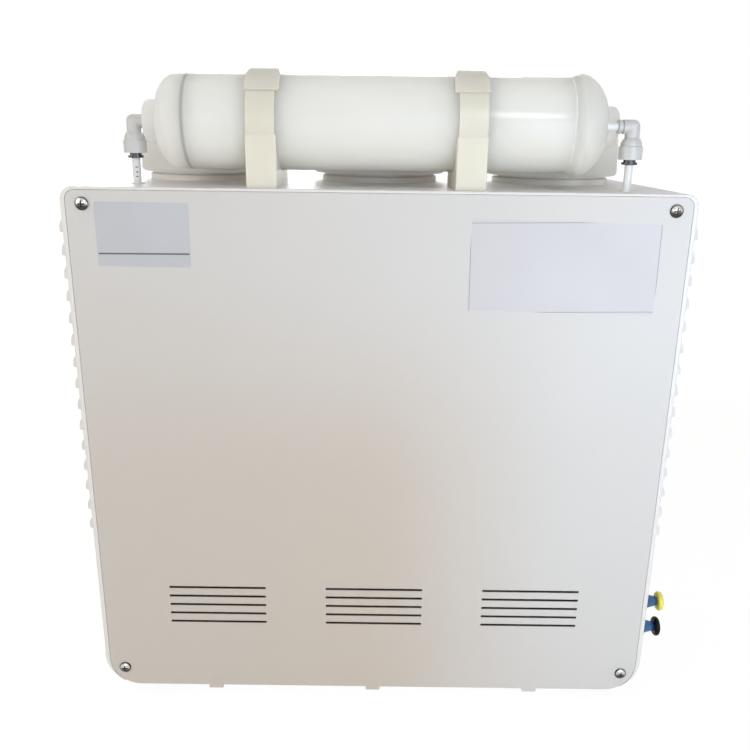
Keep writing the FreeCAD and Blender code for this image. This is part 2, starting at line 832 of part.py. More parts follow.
def tube_grommets():
    flange = grommet_radius + 0.9
    steps = [(tube_hole, -wall), (grommet_radius, -wall), (grommet_radius, 0), (flange, 0),
             (flange - 0.3, 0.8), (tube_hole, 0.8)]
    return Part.makeCompound([turned(steps, (x, y, deck_z), Z_AXIS) for x, y in riser_places])


def valve_necks():
    """Two blue necks on the side wall: a round flange and a cone for each hand valve."""
    necks = []
    rim = valve_flange_radius
    steps = [(0, 0), (rim, 0), (rim, valve_flange - 0.8), (rim - 0.8, valve_flange),
             (valve_cone_radius, valve_flange), (valve_tip_radius, valve_neck_end), (0, valve_neck_end)]
    for z in valve_heights:
        bore = rod((-half_width - valve_neck_end - 1, valve_y, z), X_AXIS, spindle_radius + 0.05, 30)
        necks.append(turned(steps, (-half_width, valve_y, z), -X_AXIS).cut(bore))
    return Part.makeCompound(necks)


def valve_bodies():
    """Brass bodies of the two hand valves behind the wall, each with two tube sockets."""
    bodies = []
    for z in valve_heights:
        body = turned([(0, 0), (6.9, 0), (6.9, wall), (10, wall), (10, 7), (8, 7), (8, 26), (0, 26)],
                      (-half_width, valve_y, z), X_AXIS)
        cuts = [rod((-half_width - 1, valve_y, z), X_AXIS, spindle_radius + 0.05, 6.5)]
        for x in valve_tail_x:
            cuts.append(rod((x, valve_y - 12, z), Y_AXIS, tube_hole, 8))
        bodies.append(body.cut(cuts))
    return Part.makeCompound(bodies)


def valve_knob(z):
    """Round knob with a pointer ridge on its face, on a spindle that enters the valve."""
    thick = knob_reach - valve_neck_end - knob_gap
    face = -half_width - knob_reach
    steps = [(0, 0), (knob_radius - 3, 0.5), ((knob_radius - 0.7, 0.9), (knob_radius, thick / 2)),
             ((knob_radius - 0.7, thick - 0.5), (knob_radius - 2.6, thick)), (0, thick)]
    disc = turned(steps, (face, valve_y, z), X_AXIS)
    ridge = box((face, face + 1.5), about(valve_y, 0.9), (z + 1, z + 6.5))
    spindle = rod((face + 2, valve_y, z), X_AXIS, spindle_radius, knob_reach - 2 + 4.5)
    return joined([disc, ridge, spindle])


def power_inlet():
    """Mains inlet frame: a rocker's window above a three-pin socket."""
    y = about(inlet_y, inlet_width / 2)
    z = about(inlet_z, inlet_tall / 2)
    outside = -half_width - inlet_flange
    body = box((-half_width, inlet_deep - half_width), y, z)
    flange = box((outside, -half_width), (y[0] - 4, y[1] + 4), (z[0] - 3, z[1] + 3))
    front_edges = [e for e in flange.Edges if all(abs(v.X - outside) < 1e-6 for v in e.Vertexes)]
    flange = flange.makeFillet(1.2, front_edges)
    socket = box((outside - 1, 14 - half_width), about(inlet_y, 11.5), (z[0] + 4, z[0] + 20))
    window = box((outside - 1, 12 - half_width), about(inlet_y, 10), (z[1] - 18, z[1] - 4))
    pins = []
    for across, up in ((-7, 10), (0, 14.5), (7, 10)):
        pins.append(box((5 - half_width, 14.5 - half_width), about(inlet_y + across, 1), about(z[0] + up, 2)))
    pin_bore = rod((rocker_pin_depth - half_width, inlet_y - 11.8, rocker_z), Y_AXIS,
                   rocker_pin_radius + 0.05, 23.6)
    return joined([joined([body, flange]).cut([socket, window, pin_bore])] + pins)


def power_rocker():
    """Rocker with a shallow V face that tips about a pin along Y; it rests on its lower half."""
    x = -half_width
    half = 5.7
    width = 19.2
    pin_length = 23.0
    outline = [(x + 8, -half), (x - 3.2, -half), (x - 1.6, 0), (x - 3.2, half), (x + 8, half)]
    body = prism(outline, lambda a, b: Vec(a, inlet_y - width / 2, rocker_z + b), Vec(0, width, 0))
    pin_start = (x + rocker_pin_depth, inlet_y - pin_length / 2, rocker_z)
    pin = rod(pin_start, Y_AXIS, rocker_pin_radius, pin_length)
    rocker = joined([body, pin])
    rocker.rotate(Vec(x + rocker_pin_depth, inlet_y, rocker_z), Y_AXIS, rocker_tilt)
    return rocker


def water_ports():
    """Two threaded sockets in the wall, each with a nut inside and a right-angle tail."""
    ports = []
    tail_x = valve_tail_x[0]
    for z in port_heights:
        outer = -half_width - port_proud
        body = joined([rod((outer, port_y, z), X_AXIS, 8.0, port_proud + 18),
                       rod((-half_width - 3, port_y, z), X_AXIS, 11.0, 3),
                       rod((wall - half_width, port_y, z), X_AXIS, 11.0, 3.5),
                       rod((tail_x, port_y, z), Y_AXIS, 5.0, port_tail + 2)])
        cuts = [rod((outer - 1, port_y, z), X_AXIS, port_radius, port_depth + 1),
                rod((tail_x, port_y + port_tail + 3, z), -Y_AXIS, tube_hole, 6)]
        ports.append(body.cut(cuts))
    return Part.makeCompound(ports)


def pump_head():
    """Pump head with tube sockets in its left and rear faces."""
    x, z = pump_inlet
    head = box(about(x, pump_half), about(pump_y, pump_half), (pump_low, pump_high))
    head = head.makeFillet(4.0, [e for e in head.Edges if abs(e.tangentAt(e.FirstParameter).x) > 0.999])
    cuts = [rod((x - pump_half - 1, pump_y, feed_z), X_AXIS, tube_hole, 9),
            rod((x, pump_y + pump_half + 1, z), -Y_AXIS, tube_hole, 9)]
    return head.cut(cuts)


def pump_motor():
    """Motor with its end bell, on a saddle that stands on the pan."""
    start = pump_inlet[0] + pump_half
    bell = motor_length - 10
    can = turned([(0, 0), (motor_radius, 0), (motor_radius, bell), ((26, bell + 8), (19, motor_length)),
                  (8, motor_length), (8, motor_length + 4), (0, motor_length + 4)],
                 (start, pump_y, motor_z), X_AXIS)
    saddle = box((start + 20, start + 74), about(pump_y, 22), (pan_top, motor_z - 16))
    return joined([can, saddle])


def pressure_switch():
    """Switch on top of the pump head, with two terminal blades."""
    x = pump_inlet[0]
    steps = [(0, 0), (6, 0), (6, 4), (11, 4), (11, 18), (9, 20), (0, 20)]
    can = turned(steps, (x, pump_y, pump_high), Z_AXIS)
    blades = [box(about(x + side * 5, 3), about(pump_y, 0.4), (pump_high + 19, pump_high + 29))
              for side in (-1, 1)]
    return joined([can] + blades)


def inlet_valve():
    """Solenoid valve in the feed line, on a bracket."""
    x, half = feed_valve_x, feed_valve_half
    top = feed_z + 12
    body = box(about(x, half), about(pump_y, 12), (feed_z - 12, top))
    bracket = box(about(x, 11), about(pump_y, 4), (pan_top, feed_z - 11))
    coil = turned([(0, 0), (9, 0), (9, 3), (14, 3), (14, 28), (9, 28), (9, 33), (0, 33)],
                  (x, pump_y, top), Z_AXIS)
    cuts = [rod((x - half - 1, pump_y, feed_z), X_AXIS, tube_hole, 8),
            rod((x + half + 1, pump_y, feed_z), -X_AXIS, tube_hole, 8)]
    return joined([body, bracket, coil]).cut(cuts)


def outlet_valve():
    """Solenoid valve in the product line, below the conductivity cell."""
    x, half, z = right_elbow_x, product_valve_half, product_valve_z
    y = side_port_y - 0.5
    body = box(about(x, half), about(y, half), about(z, half))
    bracket = box((x - half, x - half + 9), about(y - 4.5, 3), (pan_top, z - half + 1))
    coil = turned([(0, 0), (9, 0), (9, 3), (12, 3), (12, 26), (7, 26), (7, 30), (0, 30)],
                  (x, y - half, z), -Y_AXIS)
    cuts = [rod((x, side_port_y, z + half + 1), -Z_AXIS, tube_hole, 8),
            rod((x + half + 1, product_line_y, product_line_z), -X_AXIS, tube_hole, 8)]
    return joined([body, bracket, coil]).cut(cuts)


def conductivity_cell():
    """In-line cell on the right riser that measures the product water."""
    x, y = riser_places[1]
    solids = [rod((x, y, cell_low), Z_AXIS, cell_radius, cell_length),
              rod((x, y, cell_low + cell_length / 2), X_AXIS, 5.0, 20)]
    cuts = [rod((x, y, cell_low - 1), Z_AXIS, tube_hole, 9),
            rod((x, y, cell_low + cell_length + 1), -Z_AXIS, tube_hole, 9)]
    return joined(solids).cut(cuts)


def uv_chamber():
    """Steel treatment tube with end rings, a port above and a port below."""
    length = uv_right - uv_left
    ring = uv_radius + 2
    bore = uv_radius - 2
    steps = [(bore, 0), (9.2, 0), (9.2, -7), (ring, -7), (ring, 5), (uv_radius, 5), (uv_radius, length - 5),
             (ring, length - 5), (ring, length + 7), (9.2, length + 7), (9.2, length), (bore, length)]
    tube = turned(steps, (uv_left, housing_y, uv_z), X_AXIS)
    low_x = product_outlet[0]
    ports = [rod((left_elbow_x, housing_y, uv_z + 22), Z_AXIS, uv_port, 18),
             rod((low_x, housing_y, uv_z - 22), -Z_AXIS, uv_port, 16)]
    cuts = [rod((left_elbow_x, housing_y, uv_z + 20), Z_AXIS, tube_hole, 25),
            rod((low_x, housing_y, uv_z - 20), -Z_AXIS, tube_hole, 25)]
    return joined([tube] + ports).cut(cuts)


def uv_lamp():
    """Quartz sleeve and lamp with a cap at each end."""
    length = uv_right - uv_left + 26
    steps = [(0, 0), (11, 0), (11, 6), (9, 6), (9, length - 6), (11, length - 6), (11, length), (0, length)]
    return turned(steps, (uv_left - 13, housing_y, uv_z), X_AXIS)


def uv_brackets():
    """Two folded uprights on the pan that carry the steel tube."""
    brackets = []
    y = about(housing_y, 18)
    for x in uv_rests:
        upright = box((x, x + 3), y, (pan_top, uv_z))
        foot = box((x, x + 22), y, (pan_top, pan_top + 3))
        saddle = box((x, x + 14), y, (uv_z - uv_radius - 6, uv_z - 12))
        tube = rod((x - 1, housing_y, uv_z), X_AXIS, uv_radius + 0.05, 30)
        brackets.append(joined([upright, foot, saddle]).cut(tube))
    return Part.makeCompound(brackets)


def power_supply():
    """Closed supply with a grooved lid and a terminal strip."""
    left, right = supply_x
    case = box(supply_x, supply_y, (pan_top, supply_top))
    strip = box((left + 20, left + 80), (supply_y[1], supply_y[1] + 10), (pan_top + 6, pan_top + 20))
    grooves = [box((left + along, left + along + 3), (supply_y[0] + 15, supply_y[1] - 15),
                   (supply_top - 1.5, supply_top + 4)) for along in range(15, 140, 12)]
    return joined([case, strip]).cut(grooves)


def internal_tubes():
    """The lengths of quarter-inch tube between the sockets inside the cabinet."""
    feed_x, tail_x = valve_tail_x
    low, high = valve_heights
    drain_z, supply_z = port_heights
    raw_x, raw_z = raw_inlet
    pump_x, pump_z = pump_inlet
    uv_x, uv_line_z = product_outlet
    port_end = port_y + port_tail
    valve_end = valve_y - 6
    front, rear = about(column_y, manifold_reach - 5)
    line_y, line_z = product_line_y, product_line_z
    routes = [
        [(feed_x, port_end, supply_z), (feed_x, -140, supply_z), (feed_x, -90, high),
         (feed_x, valve_end, high)],
        [(feed_x, port_end, drain_z), (feed_x, -140, drain_z), (feed_x, -90, low), (feed_x, valve_end, low)],
        [(tail_x, valve_end, high), (tail_x, -50, high), (-213, -90, 86), (-212, -150, 84),
         (-212, -200, 80), (-212, pump_y, feed_z), (feed_valve_x - 10, pump_y, feed_z)],
        [(tail_x, valve_end, low), (tail_x, -48, low), (raw_x, -70, raw_z), (raw_x, rear - 2, raw_z)],
        [(feed_valve_x + 10, pump_y, feed_z), (pump_x - 17, pump_y, feed_z)],
        [(pump_x, pump_y + 16, pump_z), (pump_x, front - 1, pump_z)],
        [(uv_x, rear, uv_line_z), (uv_x, -78, uv_line_z), (uv_x, housing_y, 92),
         (uv_x, housing_y, uv_z - 30)],
        [(right_elbow_x, side_port_y, product_valve_z + 6.5), (right_elbow_x, side_port_y, cell_low + 6)],
        [(-184, line_y, line_z), (-120, line_y, line_z), (-78, line_y, line_z + 4), (-78, -100, 130),
         (-78, -240, 130), (-78, -300, 160), (-40, -308, 230), (60, -308, 288), (spout_x, -308, spout_z),
         (spout_x, front_y + 18, spout_z)],
    ]
    return Part.makeCompound([run_tube(route, tube_radius, tube_bore) for route in routes])


def wiring_loom():
    """Mains lead to the supply and the low-voltage lead to the control board."""
    strip_x = supply_x[0] + 50
    chip_x = fascia_x + 62
    mains = [(inlet_deep - half_width, inlet_y, 130), (-208, inlet_y, 130), (-206, -176, 124),
             (-200, -206, 108), (-150, -207, 100), (-60, -207, 96), (30, -206, 60), (strip_x, -192, 27),
             (strip_x, supply_y[1] + 10, 27)]
    control = [(100, -300, supply_top), (100, -300, 120), (70, -310, 220), (20, -322, 300),
               (chip_x, -322, 336), (chip_x, board_back, 336)]
    return Part.makeCompound([run_tube(mains, cable_radius), run_tube(control, cable_radius)])


def spout_base():
    """Fixed bracket on the front with an upright sleeve for the swivelling arm."""
    solids = [rod((spout_x, front_y - 4, spout_z), Y_AXIS, 19.0, 4),
              rod((spout_x, pivot_y, spout_z), Y_AXIS, 8.5, pivot_gap - 3),
              rod((spout_x, front_y - 4, spout_z), Y_AXIS, 6.0, 20),
              rod((spout_x, front_y + wall, spout_z), Y_AXIS, 11.0, 5),
              rod((spout_x, pivot_y, spout_z - 14), Z_AXIS, 10.5, 30)]
    cuts = [rod((spout_x, pivot_y, spout_z - 9), Z_AXIS, spout_radius + 0.05, 30),
            rod((spout_x, front_y + 17, spout_z), -Y_AXIS, tube_hole, 6)]
    return joined(solids).cut(cuts)


def spout_arm():
    """Bent steel arm that turns in the sleeve, with a collar that rests above it."""
    low = spout_z - 8.7
    route = [(spout_x, pivot_y, low), (spout_x, pivot_y, spout_top), (spout_x, outlet_y, spout_top),
             (spout_x, outlet_y, filter_top - 8)]
    outer = run_tube(route, spout_radius, 0.0, spout_bend)
    inner = run_tube(route, spout_radius - spout_wall, 0.0, spout_bend)
    collar = pipe((spout_x, pivot_y, spout_z + 16.3), Z_AXIS, 7.5, spout_radius - 0.5, 5)
    return joined([outer, collar]).cut(inner)


def final_filter():
    """Point-of-use capsule on the arm's end, with an outlet nozzle."""
    body_low, body_high = 18.0, 54.0
    neck = filter_top - filter_low
    grip = spout_radius + 0.05
    steps = [(0, 0), (3.2, 0), (4.4, 10), (4.4, body_low),
             *rounded((filter_radius, body_low), (-1, 0), (0, 1), 7),
             *rounded((filter_radius, body_high - 1), (0, -1), (-1, 0), 7),
             (8, body_high), (8, neck), (grip, neck), (grip, body_high + 1), (0, body_high + 1)]
    return turned(steps, (spout_x, outlet_y, filter_low), Z_AXIS)


pieces = {
    "cabinet_shell": cabinet_shell(),
    "rear_panel": rear_panel(),
    "panel_screws": panel_screws(),
    "rating_label": sticker(179.1, foot_height + 404.7, 71.0, 48.5, -0.3),
    "paper_label": sticker(-142.3, foot_height + 383.5, 145.0, 70.0, -0.9),
    "base_pan": base_pan(),
    "feet": feet(),
    "front_cover": front_cover(),
    "control_fascia": control_fascia(),
    "display_window": display_window(),
    "display_module": display_module(),
    "control_board": control_board(),
    "column_collars": column_collars(),
    "manifold_block": manifold_block(),
    "filter_housing": filter_housing(),
    "housing_end_cap": housing_end_cap(),
    "membrane_element": membrane_element(),
    "housing_seals": housing_seals(),
    "housing_clips": housing_clips(),
    "elbow_left": elbow_left(),
    "elbow_right": elbow_right(),
    "collet_left": down_collet(left_elbow_x, housing_y),
    "collet_right": down_collet(right_elbow_x, side_port_y),
    "collet_side": collet_side(),
    "riser_tube_left": riser(left_elbow_x, housing_y, uv_z + 27),
    "riser_tube_right": riser(right_elbow_x, side_port_y, cell_low + cell_length - 6),
    "port_stem": port_stem(),
    "tube_grommets": tube_grommets(),
    "valve_necks": valve_necks(),
    "valve_bodies": valve_bodies(),
    "valve_knob_lower": valve_knob(valve_heights[0]),
    "valve_knob_upper": valve_knob(valve_heights[1]),
    "power_inlet": power_inlet(),
    "power_rocker": power_rocker(),
    "water_ports": water_ports(),
    "pump_head": pump_head(),
    "pump_motor": pump_motor(),
    "pressure_switch": pressure_switch(),
    "inlet_valve": inlet_valve(),
    "outlet_valve": outlet_valve(),
    "conductivity_cell": conductivity_cell(),
    "uv_chamber": uv_chamber(),
    "uv_lamp": uv_lamp(),
    "uv_brackets": uv_brackets(),
    "power_supply": power_supply(),
    "internal_tubes": internal_tubes(),
    "wiring_loom": wiring_loom(),
    "spout_base": spout_base(),
    "spout_arm": spout_arm(),
    "final_filter": final_filter(),
}
for index, x in enumerate(key_places):
    pieces["key_%d" % (index + 1)] = key_cap(x)
for index, place in enumerate(column_places):
    pieces["column_%d" % (index + 1)] = column(place)
    pieces["column_lid_%d" % (index + 1)] = column_lid(place)

os.makedirs("parts", exist_ok=True)
for name, shape in pieces.items():
    shape.translate(origin_shift)
    shape.exportStep("parts/%s.step" % name)
    if not shape.isValid():
        print("not valid:", name)
print("pieces:", len(pieces), "origin shift:", origin_shift)
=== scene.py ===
import bpy
import bmesh
import math
from mathutils import Matrix, Vector


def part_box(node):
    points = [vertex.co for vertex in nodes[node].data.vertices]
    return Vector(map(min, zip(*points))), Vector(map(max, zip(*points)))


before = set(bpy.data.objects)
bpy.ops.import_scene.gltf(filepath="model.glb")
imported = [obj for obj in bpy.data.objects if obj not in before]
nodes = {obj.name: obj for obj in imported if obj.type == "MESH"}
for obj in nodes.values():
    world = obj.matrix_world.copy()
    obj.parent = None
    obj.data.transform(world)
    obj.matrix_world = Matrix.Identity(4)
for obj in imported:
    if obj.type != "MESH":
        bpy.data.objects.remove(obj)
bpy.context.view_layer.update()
print("frame loaded:", len(nodes), "nodes")


# Small helpers for node trees

def addNode(tree, kind, place=(0, 0), **values):
    node = tree.nodes.new(kind)
    node.location = place
    for name, value in values.items():
        setattr(node, name, value)
    return node


def feed(tree, source, target):
    # a number or colour is set on the socket itself, anything else is linked to it
    if isinstance(source, (int, float)):
        target.default_value = source
    elif isinstance(source, (tuple, list, Vector)):
        target.default_value = (*source[:3], 1.0) if target.type == "RGBA" else source
    else:
        tree.links.new(source, target)


def newGroup(name, inputs, outputs):
    # inputs: (name, socket kind, default); outputs: (name, socket kind)
    tree = bpy.data.node_groups.new(name, "ShaderNodeTree")
    for label, kind, value in inputs:
        socket = tree.interface.new_socket(label, in_out="INPUT", socket_type="NodeSocket" + kind)
        if value is not None:
            socket.default_value = value
    for label, kind in outputs:
        tree.interface.new_socket(label, in_out="OUTPUT", socket_type="NodeSocket" + kind)
    start = addNode(tree, "NodeGroupInput", (-900, 0))
    end = addNode(tree, "NodeGroupOutput", (900, 0))
    return tree, start.outputs, end.inputs


def noiseAt(tree, vector, scale, detail=3.0, roughness=0.55):
    noise = addNode(tree, "ShaderNodeTexNoise", (-600, 0))
    for label, value in (("Vector", vector), ("Scale", scale), ("Detail", detail),
                         ("Roughness", roughness)):
        feed(tree, value, noise.inputs[label])
    return noise.outputs["Fac"]


def spread(tree, value, low, high, newLow=0.0, newHigh=1.0, soft=False):
    node = addNode(tree, "ShaderNodeMapRange", (-300, 0))
    node.interpolation_type = "SMOOTHSTEP" if soft else "LINEAR"
    for label, number in (("Value", value), ("From Min", low), ("From Max", high),
                          ("To Min", newLow), ("To Max", newHigh)):
        feed(tree, number, node.inputs[label])
    return node.outputs["Result"]


def calc(tree, operation, *values, clamp=False):
    node = addNode(tree, "ShaderNodeMath", (0, -200), operation=operation, use_clamp=clamp)
    for socket, value in zip(node.inputs, values):
        feed(tree, value, socket)
    return node.outputs[0]


def mixColour(tree, share, first, second):
    node = addNode(tree, "ShaderNodeMix", (0, 200), data_type="RGBA")
    for index, value in ((0, share), (6, first), (7, second)):
        feed(tree, value, node.inputs[index])
    return node.outputs[2]


# Effects that several finishes share

def makeHandling():
    # slow soft patches and fine specks, as on a part that has been wiped and handled
    tree, given, out = newGroup(
        "handling",
        [("Vector", "Vector", None), ("Colour", "Color", (0.8, 0.8, 0.8, 1)),
         ("Shade", "Color", (0.5, 0.5, 0.5, 1)),
         ("Patch Scale", "Float", 9.0), ("Patch Amount", "Float", 0.3),
         ("Speck Scale", "Float", 900.0), ("Speck Amount", "Float", 0.1),
         ("Roughness", "Float", 0.4), ("Roughness Range", "Float", 0.1)],
        [("Colour", "Color"), ("Roughness", "Float")])
    patch = noiseAt(tree, given["Vector"], given["Patch Scale"], 4.0, 0.5)
    patch = spread(tree, patch, 0.30, 0.74, soft=True)
    speck = noiseAt(tree, given["Vector"], given["Speck Scale"], 2.0, 0.5)
    speck = spread(tree, speck, 0.60, 0.74)
    patchShare = calc(tree, "MULTIPLY", patch, given["Patch Amount"])
    speckShare = calc(tree, "MULTIPLY", speck, given["Speck Amount"])
    share = calc(tree, "ADD", patchShare, speckShare, clamp=True)
    offset = calc(tree, "SUBTRACT", patch, 0.5)
    rough = calc(tree, "MULTIPLY_ADD", offset, given["Roughness Range"], given["Roughness"], clamp=True)
    feed(tree, mixColour(tree, share, given["Colour"], given["Shade"]), out["Colour"])
    feed(tree, rough, out["Roughness"])
    return tree


def makeSkin():
    # height of a coated or moulded skin: a fine pebble over a slower wave
    tree, given, out = newGroup(
        "skin",
        [("Vector", "Vector", None), ("Pebble Scale", "Float", 1200.0), ("Wave Scale", "Float", 120.0),
         ("Wave Share", "Float", 0.4)],
        [("Height", "Float")])
    pebble = noiseAt(tree, given["Vector"], given["Pebble Scale"], 1.5, 0.4)
    wave = noiseAt(tree, given["Vector"], given["Wave Scale"], 1.0, 0.4)
    feed(tree, calc(tree, "MULTIPLY_ADD", wave, given["Wave Share"], pebble), out["Height"])
    return tree


def makeBrushing():
    # long fine lines of a brushed or drawn metal, stretched along one direction
    tree, given, out = newGroup(
        "brushing",
        [("Vector", "Vector", None), ("Stretch", "Vector", (1, 1, 1))],
        [("Lines", "Float")])
    scaled = addNode(tree, "ShaderNodeVectorMath", operation="MULTIPLY")
    feed(tree, given["Vector"], scaled.inputs[0])
    feed(tree, given["Stretch"], scaled.inputs[1])
    lines = noiseAt(tree, scaled.outputs["Vector"], 1.0, 4.0, 0.7)
    feed(tree, spread(tree, lines, 0.3, 0.7), out["Lines"])
    return tree


def makeBand():
    # 1 between two levels of one value and 0 outside, with soft ends
    tree, given, out = newGroup(
        "band",
        [("Value", "Float", 0.0), ("Low", "Float", 0.0), ("High", "Float", 1.0), ("Soft", "Float", 0.001)],
        [("Mask", "Float")])
    above = calc(tree, "SUBTRACT", given["Value"], given["Low"])
    below = calc(tree, "SUBTRACT", given["High"], given["Value"])
    rise = calc(tree, "DIVIDE", above, given["Soft"], clamp=True)
    fall = calc(tree, "DIVIDE", below, given["Soft"], clamp=True)
    feed(tree, calc(tree, "MULTIPLY", rise, fall), out["Mask"])
    return tree


def makeSettledDust():
    # a little dust that lies on faces turned upwards
    tree, given, out = newGroup(
        "settledDust",
        [("Vector", "Vector", None), ("Colour", "Color", (0.8, 0.8, 0.8, 1)),
         ("Dust", "Color", (0.60, 0.56, 0.50, 1)), ("Amount", "Float", 0.2)],
        [("Colour", "Color")])
    geometry = addNode(tree, "ShaderNodeNewGeometry", (-900, -300))
    split = addNode(tree, "ShaderNodeSeparateXYZ", (-700, -300))
    feed(tree, geometry.outputs["Normal"], split.inputs[0])
    up = spread(tree, split.outputs["Z"], 0.5, 1.0)
    patches = spread(tree, noiseAt(tree, given["Vector"], 35.0, 5.0, 0.65), 0.38, 0.7)
    mask = calc(tree, "MULTIPLY", calc(tree, "MULTIPLY", up, patches), given["Amount"])
    feed(tree, mixColour(tree, mask, given["Colour"], given["Dust"]), out["Colour"])
    return tree


handlingGroup = makeHandling()
skinGroup = makeSkin()
brushingGroup = makeBrushing()
bandGroup = makeBand()
dustGroup = makeSettledDust()
print("effect groups made")


class Finish:
    # a material under construction: its tree, its shader and the point of the surface
    def __init__(self, name, roughness=0.4, metallic=0.0, coat=0.0, ior=1.46, milky=0.0, depth=0.004):
        self.material = bpy.data.materials.new(name)
        self.material.use_nodes = True
        self.tree = self.material.node_tree
        self.shader = self.tree.nodes["Principled BSDF"]
        self.roughness = roughness
        for label, value in (("Roughness", roughness), ("Metallic", metallic), ("Coat Weight", coat),
                             ("Coat Roughness", 0.12), ("IOR", ior), ("Subsurface Weight", milky),
                             ("Subsurface Radius", (depth, depth, depth)), ("Subsurface Scale", 1.0)):
            feed(self.tree, value, self.shader.inputs[label])
        self.point = addNode(self.tree, "ShaderNodeTexCoord", (-1400, 0)).outputs["Object"]
        split = addNode(self.tree, "ShaderNodeSeparateXYZ", (-1200, -300))
        feed(self.tree, self.point, split.inputs[0])
        self.x, self.y, self.z = split.outputs["X"], split.outputs["Y"], split.outputs["Z"]

    def group(self, source, place, **values):
        node = addNode(self.tree, "ShaderNodeGroup", place, node_tree=source)
        for label, value in values.items():
            feed(self.tree, value, node.inputs[label.replace("_", " ")])
        if "Vector" in node.inputs:
            feed(self.tree, self.point, node.inputs["Vector"])
        return node.outputs

    def handled(self, colour, shade, patchScale=9.0, patchAmount=0.4, speckScale=900.0, speckAmount=0.1,
                roughnessRange=0.12):
        made = self.group(handlingGroup, (-900, 200), Colour=colour, Shade=shade, Patch_Scale=patchScale,
                          Patch_Amount=patchAmount, Speck_Scale=speckScale, Speck_Amount=speckAmount,
                          Roughness=self.roughness, Roughness_Range=roughnessRange)
        feed(self.tree, made["Roughness"], self.shader.inputs["Roughness"])
        return made["Colour"]

    def skinned(self, pebbleScale, waveScale, waveShare, strength, height=0.0002, extra=None):
        made = self.group(skinGroup, (-900, -500), Pebble_Scale=pebbleScale, Wave_Scale=waveScale,
                          Wave_Share=waveShare)["Height"]
        if extra is not None:
            made = calc(self.tree, "ADD", made, extra)
        self.bumped(made, strength, height)

    def bumped(self, made, strength, height):
        bump = addNode(self.tree, "ShaderNodeBump", (-300, -500))
        for label, value in (("Strength", strength), ("Distance", height), ("Height", made)):
            feed(self.tree, value, bump.inputs[label])
        feed(self.tree, bump.outputs["Normal"], self.shader.inputs["Normal"])

    def dusted(self, colour, amount):
        return self.group(dustGroup, (-500, 200), Colour=colour, Amount=amount)["Colour"]

    def band(self, value, low, high, soft):
        return self.group(bandGroup, (-900, -100), Value=value, Low=low, High=high, Soft=soft)["Mask"]

    def tinted(self, colour, share, tint, amount=1.0):
        if amount != 1.0:
            share = calc(self.tree, "MULTIPLY", share, amount)
        return mixColour(self.tree, share, colour, tint)

    def letThrough(self, colour, share):
        # part of the light goes on through the wall, softened on its way
        passed = addNode(self.tree, "ShaderNodeBsdfTranslucent", (0, -300))
        blend = addNode(self.tree, "ShaderNodeMixShader", (300, 0))
        feed(self.tree, colour, passed.inputs["Color"])
        feed(self.tree, share, blend.inputs["Fac"])
        feed(self.tree, self.shader.outputs[0], blend.inputs[1])
        feed(self.tree, passed.outputs[0], blend.inputs[2])
        feed(self.tree, blend.outputs[0], self.tree.nodes["Material Output"].inputs["Surface"])

    def coloured(self, colour):
        feed(self.tree, colour, self.shader.inputs["Base Color"])
        return self.material


def dress(material, *names):
    for name in names:
        mesh = nodes[name].data
        mesh.materials.clear()
        mesh.materials.append(material)
        dressed.add(name)


dressed = set()


# General finishes, each given its values by the pieces below

def coatedSheet(name, look):
    # powder coat over steel sheet: fine orange peel and a slow change of tone
    finish = Finish(name, roughness=look["roughness"], ior=1.5)
    tone = finish.handled(look["colour"], look["shade"], patchScale=5.0, patchAmount=0.5,
                          speckScale=1400.0, speckAmount=0.12)
    if "paintedShade" in look:
        # painted shade: the coat is painted darker and yellower over its low middle, standing in for a
        # warm-tinted shadow that falls there
        paintedShade = look["paintedShade"]
        low = spread(finish.tree, finish.z, *paintedShade["height"], soft=True)
        right = spread(finish.tree, finish.x, *paintedShade["right"], soft=True)
        left = spread(finish.tree, finish.x, *paintedShade["left"], 1.0, paintedShade["leftShare"])
        share = calc(finish.tree, "MULTIPLY", calc(finish.tree, "MULTIPLY", low, right), left)
        tone = finish.tinted(tone, share, paintedShade["tone"], paintedShade["amount"])
    if "inside" in look:
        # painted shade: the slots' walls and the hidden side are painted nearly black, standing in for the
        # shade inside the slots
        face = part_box("rear_panel")[1].y
        shadeDepth = spread(finish.tree, finish.y, face - look["sheet"], face - 3 * look["sheet"])
        tone = finish.tinted(tone, shadeDepth, look["inside"])
    finish.skinned(look["peel"], 160.0, 0.5, 0.35, 0.00012)
    return finish.coloured(finish.dusted(tone, look["dust"]))


def mouldedPlastic(name, look):
    # moulded skin: faint flow marks, fine pebble and a little dust on top
    finish = Finish(name, roughness=look["roughness"], coat=look.get("coat", 0.0),
                    ior=look.get("ior", 1.49), milky=look.get("milky", 0.0), depth=look.get("depth", 0.004))
    tone = finish.handled(look["colour"], look["shade"], patchScale=26.0, patchAmount=0.5,
                          speckScale=1800.0, speckAmount=0.15)
    finish.skinned(2600.0, 210.0, 0.6, 0.18, 0.0001)
    tone = finish.dusted(tone, look.get("dust", 0.1))
    if "passing" in look:
        finish.letThrough(tone, look["passing"])
    return finish.coloured(tone)


def brushedMetal(name, look):
    # drawn or turned metal: long fine lines that darken and lift the surface
    finish = Finish(name, roughness=look["roughness"], metallic=1.0)
    colour = look["colour"]
    lines = finish.group(brushingGroup, (-900, -200), Stretch=look["stretch"])["Lines"]
    tone = finish.handled(colour, [c * 0.8 for c in colour], patchScale=40.0, patchAmount=0.4,
                          speckAmount=0.05)
    tone = finish.tinted(tone, lines, [c * 0.7 for c in colour], look["lines"])
    finish.bumped(lines, 0.12, 0.00006)
    return finish.coloured(tone)


def darkRubber(name, look):
    finish = Finish(name, roughness=look["roughness"], ior=1.5)
    tone = finish.handled(look["colour"], look["shade"], patchScale=60.0, patchAmount=0.5,
                          speckScale=2200.0, speckAmount=0.4)
    finish.skinned(3000.0, 300.0, 0.3, 0.3, 0.00012)
    return finish.coloured(finish.dusted(tone, look["dust"]))


